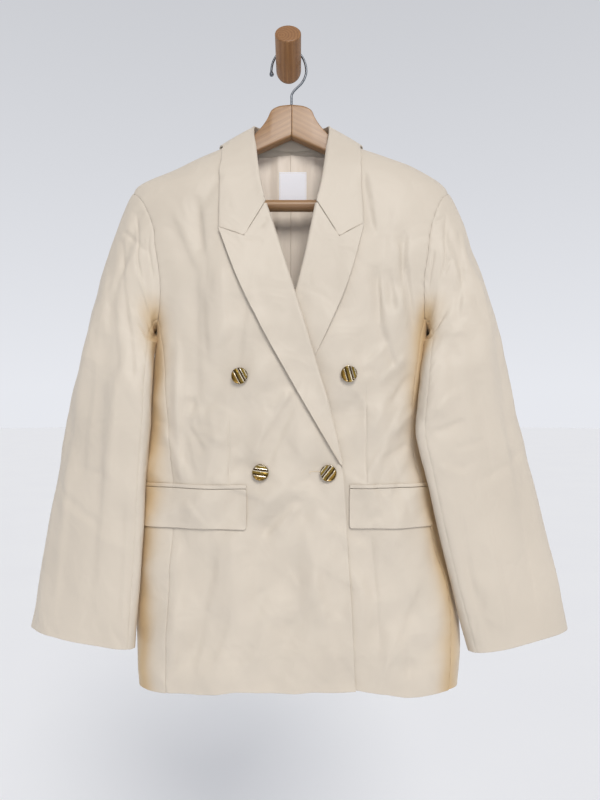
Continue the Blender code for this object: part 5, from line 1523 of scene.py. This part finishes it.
def stitch_row(name, points, ways, sizes, tree, seed):
    """Stitches along a path of points in millimetres, each laid in its way."""
    spacing, length, radius = sizes
    guide = bpy.data.meshes.new(name + "_path")
    edges = [(at, at + 1) for at in range(len(points) - 1)]
    guide.from_pydata((np.asarray(points) * MM).tolist(), edges, [])
    layer = guide.attributes.new("way", "FLOAT_VECTOR", "POINT")
    layer.data.foreach_set("vector", np.asarray(ways, np.float32).ravel())
    row = bpy.data.objects.new(name + "_path", guide)
    blazer_collection.objects.link(row)
    modifier = row.modifiers.new("stitches", "NODES")
    modifier.node_group = tree
    names = ("Spacing", "Stitch Length", "Thread Radius", "Seed")
    values = dict(zip(names, (spacing * MM, length * MM, radius * MM, seed)))
    for socket in tree.interface.items_tree:
        if socket.name in values:
            modifier[socket.identifier] = values[socket.name]
    bpy.context.view_layer.update()
    evaluated = row.evaluated_get(bpy.context.evaluated_depsgraph_get())
    mesh = bpy.data.meshes.new_from_object(evaluated)
    mesh.name = name
    bpy.data.objects.remove(row, do_unlink=True)
    made = bpy.data.objects.new(name, mesh)
    blazer_collection.objects.link(made)
    return made


def make_buttonhole(tree):
    """The worked edge of a buttonhole, half of it under its button."""
    x0, x1, z = BUTTONHOLE
    turn = np.linspace(-math.pi / 2, 1.5 * math.pi, 49)
    along = np.where(np.cos(turn) > 0, x1, x0) + BUTTONHOLE_HALF_WIDTH * np.cos(turn)
    height = z + BUTTONHOLE_HALF_WIDTH * np.sin(turn)
    points = front(-1, along, height, HOLE_STITCH_PROUD)
    outward = front(-1, along + np.cos(turn), height + np.sin(turn), HOLE_STITCH_PROUD)
    ways = unit(outward - points)
    return stitch_row("buttonhole_stitches", points, ways, HOLE_STITCH, tree, seed=5)


def make_label_stitches(tree):
    """Running stitches round the blank label."""
    (wide, tall), (x0, z0) = LABEL_SIZE, LABEL_CENTRE
    corners = [(-1, -1), (1, -1), (1, 1), (-1, 1), (-1, -1)]
    rows = []
    for number, (start, end) in enumerate(zip(corners, corners[1:])):
        share = np.linspace(0, 1, 24)[:, None]
        spots = np.array(start) * (1 - share) + np.array(end) * share
        x = x0 + spots[:, 0] * (wide / 2 - LABEL_STITCH_INSET)
        z = z0 + spots[:, 1] * (tall / 2 - LABEL_STITCH_INSET)
        v = (z - z0) / tall + 0.5
        u = (x - x0) / wide + 0.5
        points = back(x, z, LABEL_BASE - LABEL_STITCH_DEPTH + label_bend(u, v))
        ways = unit(np.gradient(points, axis=0))
        name = f"label_stitches_{number}"
        rows.append(stitch_row(name, points, ways, LABEL_STITCH, tree, number))
    return rows


# Materials -------------------------------------------------------------------------------


def add_node(tree, kind, settings=(), inputs=()):
    """A node with its settings, and its inputs set to values or joined to other nodes."""
    node = tree.nodes.new(kind)
    for key, value in dict(settings).items():
        setattr(node, key, value)
    for key, value in dict(inputs).items():
        if isinstance(value, bpy.types.Node):
            value = value.outputs[0]
        if isinstance(value, bpy.types.NodeSocket):
            tree.links.new(value, node.inputs[key])
        else:
            node.inputs[key].default_value = value
    return node


def colour(code):
    return (*linear(code), 1.0)


def new_material(name):
    material = bpy.data.materials.new(name)
    material.use_nodes = True
    material.node_tree.nodes.clear()
    return material, material.node_tree


# Sockets of a mix of colours, which have no names of their own
SHARE, LOW, HIGH, MIXED = 0, 6, 7, 2
MIX_COLOURS = {"data_type": "RGBA"}
SMOOTHLY = {"interpolation_type": "SMOOTHSTEP"}


def shades(share, *ends):
    """What goes into a mix of colours, whose ends are hex codes or other mixes."""
    low, high = [colour(end) if isinstance(end, str) else end.outputs[MIXED] for end in ends]
    return {SHARE: share, LOW: low, HIGH: high}


def finish_material(material, tone, heights, finish):
    """Bumps of patterns and their depths in metres, then the shader with its even values."""
    tree, normal = material.node_tree, {}
    for height, distance in heights:
        bump = {"Height": height, "Distance": distance, **normal}
        normal = {"Normal": add_node(tree, "ShaderNodeBump", (), bump)}
    surface = {"Base Color": tone, **normal, **finish}
    shader = add_node(tree, "ShaderNodeBsdfPrincipled", (), surface)
    add_node(tree, "ShaderNodeOutputMaterial", (), {"Surface": shader})
    return material


def make_cotton_sateen():
    """Cotton sateen, woven with long floats and pressed: matt with a soft sheen on the folds."""
    material, tree = new_material("cotton_sateen")
    cloth_map = add_node(tree, "ShaderNodeUVMap", {"uv_map": "cloth"})
    place = add_node(tree, "ShaderNodeTexCoord").outputs["Object"]
    # where the press left the cloth a shade darker, in patches about 110 mm across
    patches = {"Vector": place, "Scale": 1 / 0.11, "Detail": 1.0}
    pressed = add_node(tree, "ShaderNodeTexNoise", (), patches)
    tone = add_node(tree, "ShaderNodeMix", MIX_COLOURS, shades(pressed, CLOTH_DARK, CLOTH_LIGHT))
    # painted shade: a warmer, deeper cream where the sleeves and the body keep the light off the
    # cloth
    painted_shade_share = add_node(tree, "ShaderNodeAttribute", {"attribute_name": "painted_shade"}).outputs["Fac"]
    tone = add_node(tree, "ShaderNodeMix", MIX_COLOURS, shades(painted_shade_share, tone, CLOTH_PAINTED_SHADE))
    # thicker yarns, one in about 1.5 mm and 20 mm long, either way of the weave
    weave = {}
    for way, scale in enumerate(((1 / 0.0015, 1 / 0.02, 1.0), (1 / 0.02, 1 / 0.0015, 1.0))):
        yarn_map = add_node(tree, "ShaderNodeMapping", (), {"Vector": cloth_map, "Scale": scale})
        weave[way] = add_node(tree, "ShaderNodeTexNoise", (), {"Vector": yarn_map, "Scale": 1.0})
    yarns = add_node(tree, "ShaderNodeMath", {"operation": "MULTIPLY"}, weave)
    # sateen floats, 0.5 mm apart
    bands = {"wave_type": "BANDS", "bands_direction": "DIAGONAL"}
    weft = {"Vector": cloth_map, "Scale": WAVE / 0.0005, "Distortion": 0.6, "Detail": 1.0}
    floats = add_node(tree, "ShaderNodeTexWave", bands, weft)
    # soft unevenness about 50 mm across that pressing never takes out
    dents = {"Vector": place, "Scale": 1 / 0.05, "Detail": 2.0, "Distortion": 0.6}
    crumple = add_node(tree, "ShaderNodeTexNoise", (), dents)
    heights = ((crumple, 0.003), (yarns, 0.00004), (floats, 0.000015))
    sheen = {"Sheen Weight": 0.12, "Sheen Roughness": 0.4, "Sheen Tint": colour("FFF6E6")}
    finish = {"Roughness": 0.52, "Specular IOR Level": 0.45, **sheen}
    return finish_material(material, tone.outputs[MIXED], heights, finish)


def make_lining_satin():
    """Light viscose lining, woven fine and calendered: smoother and shinier than the cloth."""
    material, tree = new_material("lining_satin")
    cloth_map = add_node(tree, "ShaderNodeUVMap", {"uv_map": "cloth"})
    place = add_node(tree, "ShaderNodeTexCoord").outputs["Object"]
    # warp yarns, one in about 0.9 mm and 30 mm long
    scale = (1 / 0.0009, 1 / 0.03, 1.0)
    warp_map = add_node(tree, "ShaderNodeMapping", (), {"Vector": cloth_map, "Scale": scale})
    warp = add_node(tree, "ShaderNodeTexNoise", (), {"Vector": warp_map, "Scale": 1.0})
    tone = add_node(tree, "ShaderNodeMix", MIX_COLOURS, shades(warp, "DCCFC1", "E6DACC"))
    # soft creases that hang down, about 15 mm wide and 60 mm long
    scale = (1 / 0.015, 1 / 0.015, 1 / 0.06)
    hang_map = add_node(tree, "ShaderNodeMapping", (), {"Vector": place, "Scale": scale})
    hang = add_node(tree, "ShaderNodeTexNoise", (), {"Vector": hang_map, "Scale": 1.0})
    finish = {"Roughness": 0.42, "Specular IOR Level": 0.45}
    heights = ((hang, 0.001), (warp, 0.00004))
    return finish_material(material, tone.outputs[MIXED], heights, finish)


def make_label_tape():
    """Woven polyester tape: fine even ribs across, slightly blue white."""
    material, tree = new_material("label_tape")
    cloth_map = add_node(tree, "ShaderNodeUVMap", {"uv_map": "cloth"})
    # ribs 0.5 mm apart
    bands = {"wave_type": "BANDS", "bands_direction": "Y"}
    weft = {"Vector": cloth_map, "Scale": WAVE / 0.0005}
    ribs = add_node(tree, "ShaderNodeTexWave", bands, weft)
    tone = add_node(tree, "ShaderNodeMix", MIX_COLOURS, shades(ribs, "E9E9F1", "F1F1F7"))
    heights = ((ribs, 0.00003),)
    return finish_material(material, tone.outputs[MIXED], heights, {"Roughness": 0.55})


def make_thread():
    """Spun polyester sewing thread, mercerised: a fine round strand with a slight gloss."""
    material, tree = new_material("sewing_thread")
    place = add_node(tree, "ShaderNodeTexCoord").outputs["Object"]
    # single fibres, 0.5 mm apart
    fibre = add_node(tree, "ShaderNodeTexNoise", (), {"Vector": place, "Scale": 1 / 0.0005})
    tone = add_node(tree, "ShaderNodeMix", MIX_COLOURS, shades(fibre, "D3C4AC", "E6DAC7"))
    heights = ((fibre, 0.00005),)
    return finish_material(material, tone.outputs[MIXED], heights, {"Roughness": 0.5})


def make_gilt_metal():
    """Gilt brass, ribbed and burnished: bronze, gold and dark brown bands parted by thin cream
    lines of painted highlight.
    """
    material, tree = new_material("gilt_metal")
    place = add_node(tree, "ShaderNodeTexCoord").outputs["Object"]
    band = add_node(tree, "ShaderNodeAttribute", {"attribute_name": "band"}).outputs["Fac"]
    # the bands run a little unevenly, in waves about 4 mm long
    drift = add_node(tree, "ShaderNodeTexNoise", (), {"Vector": place, "Scale": 1 / 0.004})
    swaying = {0: drift, 1: 0.06, 2: band}
    uneven = add_node(tree, "ShaderNodeMath", {"operation": "MULTIPLY_ADD"}, swaying)
    # bands of bronze, gold and dark brown, with thin cream lines of painted highlight
    bands = add_node(tree, "ShaderNodeValToRGB", (), {"Fac": uneven})
    bands.color_ramp.interpolation = "LINEAR"
    stops = bands.color_ramp.elements
    stops[0].position, stops[0].color = 0.0, colour(BAND_STOPS[0][1])
    stops[1].position, stops[1].color = 1.0, colour(BAND_STOPS[-1][1])
    for at, code in BAND_STOPS[1:-1]:
        stops.new(at).color = colour(code)
    # burnishing marks about 1.5 mm across
    wear = add_node(tree, "ShaderNodeTexNoise", (), {"Vector": place, "Scale": 1 / 0.0015})
    worn = {"Value": wear, "To Min": 0.2, "To Max": 0.34}
    rough = add_node(tree, "ShaderNodeMapRange", (), worn)
    finish = {"Metallic": 1.0, "Roughness": rough}
    return finish_material(material, bands, ((wear, 0.00003),), finish)


# Marks along the grain, in metres: length, width, detail, the noise between which they show, and
# how strong they are; streaks, and rays seen as flecks
WOOD_MARKS = ((0.06, 0.0018, 3.0, 0.45, 0.8, 0.45), (0.0026, 0.0006, 2.0, 0.62, 0.78, 0.5))


def make_wood(name, light, dark, fleck, ring_width, finish):
    """Wood cut along its grain: growth rings, drawn-out streaks and small dark flecks."""
    material, tree = new_material(name)
    grain = add_node(tree, "ShaderNodeAttribute", {"attribute_name": "grain"}).outputs["Vector"]
    drawn = add_node(tree, "ShaderNodeMapping", (), {"Vector": grain, "Scale": (0.06, 1.0, 1.0)})
    round_core = {"wave_type": "RINGS", "rings_direction": "X"}
    growth = {"Vector": drawn, "Scale": WAVE / ring_width, "Distortion": 2.0, "Detail": 2.0}
    rings = add_node(tree, "ShaderNodeTexWave", round_core, growth)
    tone = add_node(tree, "ShaderNodeMix", MIX_COLOURS, shades(rings, light, dark))
    marks = []
    for long, wide, detail, low, high, most in WOOD_MARKS:
        scale = (1 / long, 1 / wide, 1 / wide)
        mark_map = add_node(tree, "ShaderNodeMapping", (), {"Vector": grain, "Scale": scale})
        noise = {"Vector": mark_map, "Scale": 1.0, "Detail": detail}
        marks.append(add_node(tree, "ShaderNodeTexNoise", (), noise))
        limits = {"Value": marks[-1], "From Min": low, "From Max": high, "To Max": most}
        marked = add_node(tree, "ShaderNodeMapRange", SMOOTHLY, limits)
        tone = add_node(tree, "ShaderNodeMix", MIX_COLOURS, shades(marked, tone, fleck))
    return finish_material(material, tone.outputs[MIXED], ((marks[0], 0.00008),), finish)


def make_steel_wire():
    """Nickel-plated steel wire, drawn: satin, with faint lengthwise scratches."""
    material, tree = new_material("steel_wire")
    place = add_node(tree, "ShaderNodeTexCoord").outputs["Object"]
    # scratches 11 mm long and 0.7 mm apart
    scale = (1 / 0.0007, 1 / 0.0007, 1 / 0.011)
    drawn_map = add_node(tree, "ShaderNodeMapping", (), {"Vector": place, "Scale": scale})
    drawn = add_node(tree, "ShaderNodeTexNoise", (), {"Vector": drawn_map, "Scale": 1.0})
    tone = add_node(tree, "ShaderNodeMix", MIX_COLOURS, shades(drawn, "62666C", "7A7E85"))
    worn = {"Value": drawn, "To Min": 0.36, "To Max": 0.48}
    rough = add_node(tree, "ShaderNodeMapRange", (), worn)
    finish = {"Metallic": 1.0, "Roughness": rough}
    return finish_material(material, tone.outputs[MIXED], ((drawn, 0.00003),), finish)


def make_studio_floor():
    """Matt painted board, a little uneven over half a metre."""
    material, tree = new_material("studio_floor")
    place = add_node(tree, "ShaderNodeTexCoord").outputs["Object"]
    uneven = {"Vector": place, "Scale": 1 / 0.5, "Detail": 1.0}
    patches = add_node(tree, "ShaderNodeTexNoise", (), uneven)
    tone = add_node(tree, "ShaderNodeMix", MIX_COLOURS, shades(patches, FLOOR_DARK, FLOOR_LIGHT))
    finish = {"Roughness": 0.9, "Specular IOR Level": 0.0}
    return finish_material(material, tone.outputs[MIXED], (), finish)


# Build -----------------------------------------------------------------------------------

blazer_collection = bpy.data.collections.new("blazer_looks")
bpy.context.scene.collection.children.link(blazer_collection)

cotton_sateen = make_cotton_sateen()
lining_satin = make_lining_satin()
label_tape = make_label_tape()
sewing_thread = make_thread()
gilt_metal = make_gilt_metal()
# growth rings 7 mm wide in the hanger and 4 mm in the peg
lacquer = {"Roughness": 0.42, "Coat Weight": 0.25, "Coat Roughness": 0.25}
beech = make_wood("beech", "9C7750", "906B46", "714F30", 0.007, lacquer)
oil = {"Roughness": 0.5, "Coat Weight": 0.1, "Coat Roughness": 0.35}
oiled_wood = make_wood("oiled_wood", "94683D", "835931", "5C3C1F", 0.004, oil)
steel_wire = make_steel_wire()

CLOTH_PIECES = []


def sewn_on(piece, node, flat_on, slot="cotton_sateen"):
    """Books a cloth piece that replaces the node; flat_on, the pieces it lies on or hangs from, is
    not used.
    """
    CLOTH_PIECES.append((piece, node, flat_on, slot))
    return piece


for hand, side in (("right", -1), ("left", 1)):
    front_piece = sewn_on(make_front(f"fine_front_{hand}", side), f"front_{hand}", ["hanger_body"])
    sewn_on(make_back(f"fine_back_{hand}", side), f"back_{hand}", ["hanger_body"])
    sewn_on(make_side(f"fine_side_{hand}", side), f"side_{hand}", [front_piece])
    sewn_on(make_lapel(f"fine_lapel_{hand}", side), f"lapel_{hand}", [front_piece])
    fore_seam = SEAM_ENDS[0]
    top_sleeve = make_sleeve(f"fine_sleeve_top_{hand}", side, HIND_SEAM - 1, fore_seam)
    sewn_on(top_sleeve, f"sleeve_top_{hand}", [front_piece])
    under_sleeve = make_sleeve(f"fine_sleeve_under_{hand}", side, fore_seam, HIND_SEAM)
    sewn_on(under_sleeve, f"sleeve_under_{hand}", [top_sleeve])
    ends = POCKETS[hand]
    welt = make_strip(f"fine_welt_{hand}", side, ends, WELT_BOTTOM, WELT_TOP, LAID_GAP)
    sewn_on(welt, f"welt_{hand}", [front_piece])
    flap = make_strip(
        f"fine_flap_{hand}", side, ends, FLAP_BOTTOM, FLAP_TOP, LAID_GAP, FLAP_CORNER, FLAP_LIFT
    )
    sewn_on(flap, f"flap_{hand}", [front_piece])
sewn_on(make_collar(), "collar", ["fine_front_right", "fine_front_left"])
lining = sewn_on(make_lining(), "lining_back", ["fine_back_right"], "lining_satin")
sewn_on(make_label(), "neck_label", [lining], "label_tape")

thread_tree = stitch_tree(sewing_thread)
stitches = [make_buttonhole(thread_tree), *make_label_stitches(thread_tree)]

hard_pieces = [
    (make_button(name, x, z, math.radians(turn)), name, "gilt_metal")
    for (name, x, z), turn in zip(BUTTONS, RIDGE_TURNS)
]
hard_pieces += [
    (make_hanger_half("fine_hanger_right", -1), "hanger_body", "beech"),
    (make_hanger_half("fine_hanger_left", 1), "hanger_body", "beech"),
    (make_bar(), "hanger_bar", "beech"),
    (make_hook(), "hanger_hook", "steel_wire"),
    (make_peg(), "wall_peg", "oiled_wood"),
]

for piece, node, slot in hard_pieces:
    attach(piece, "root")
    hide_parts(node)
for piece in stitches:
    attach(piece, "root")
for piece, node, carriers, slot in CLOTH_PIECES:
    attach(piece, "root")
    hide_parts(node)

# Camera, light and floor -----------------------------------------------------------------


def placed(data, place=(0.0, 0.0, 0.0), turned=(0.0, 0.0, 0.0)):
    """Puts a camera, a light or a mesh in the scene."""
    made = bpy.data.objects.new(data.name, data)
    made.location, made.rotation_euler = place, turned
    bpy.context.scene.collection.objects.link(made)
    return made


camera_data = bpy.data.cameras.new("camera")
camera_data.lens = CAMERA_LENS
camera_data.sensor_width = 36.0
bpy.context.scene.camera = placed(camera_data, CAMERA_PLACE, (math.radians(90), 0.0, 0.0))

world = bpy.data.worlds.new("studio")
world.use_nodes = True
tree = world.node_tree
tree.nodes.clear()
way = add_node(tree, "ShaderNodeTexCoord").outputs["Generated"]
axes = add_node(tree, "ShaderNodeSeparateXYZ", (), {"Vector": way}).outputs
limits = ("From Min", "From Max")
heights = {"Value": axes["Z"], **dict(zip(limits, WORLD_HEIGHTS))}
heights |= {"To Min": 1.0, "To Max": WORLD_DIMMEST}
fall = add_node(tree, "ShaderNodeMapRange", (), heights)
depths = {"Value": axes["Y"], **dict(zip(limits, WORLD_SIDES)), "To Min": WORLD_FRONT}
turn = add_node(tree, "ShaderNodeMapRange", SMOOTHLY, depths)
strength = add_node(tree, "ShaderNodeMath", {"operation": "MULTIPLY"}, {0: fall, 1: turn})
light = {"Color": WORLD_COLOUR, "Strength": strength}
sky = add_node(tree, "ShaderNodeBackground", (), light)
add_node(tree, "ShaderNodeOutputWorld", (), {"Surface": sky})
bpy.context.scene.world = world

sun_data = bpy.data.lights.new("key", "SUN")
sun_data.energy = SUN_STRENGTH
sun_data.angle = math.radians(SUN_WIDTH)
sun_data.color = SUN_COLOUR
placed(sun_data, turned=Vector(SUN_FROM).to_track_quat("Z", "Y").to_euler())

soft_data = bpy.data.lights.new("softbox", "AREA")
soft_data.shape = "RECTANGLE"
soft_data.size, soft_data.size_y = SOFTBOX_SIZE
soft_data.energy = SOFTBOX_POWER
aim = Vector(SOFTBOX_AIM) - Vector(SOFTBOX_PLACE)
placed(soft_data, SOFTBOX_PLACE, aim.to_track_quat("-Z", "Y").to_euler())

floor_mesh = bpy.data.meshes.new("floor")
shape = bmesh.new()
bmesh.ops.create_circle(shape, cap_ends=True, segments=64, radius=FLOOR_RADIUS)
bmesh.ops.translate(shape, verts=shape.verts, vec=(0.0, 0.0, FLOOR_HEIGHT))
shape.to_mesh(floor_mesh)
shape.free()
floor_mesh.materials.append(make_studio_floor())
placed(floor_mesh)

bpy.context.scene.view_settings.view_transform = "Standard"
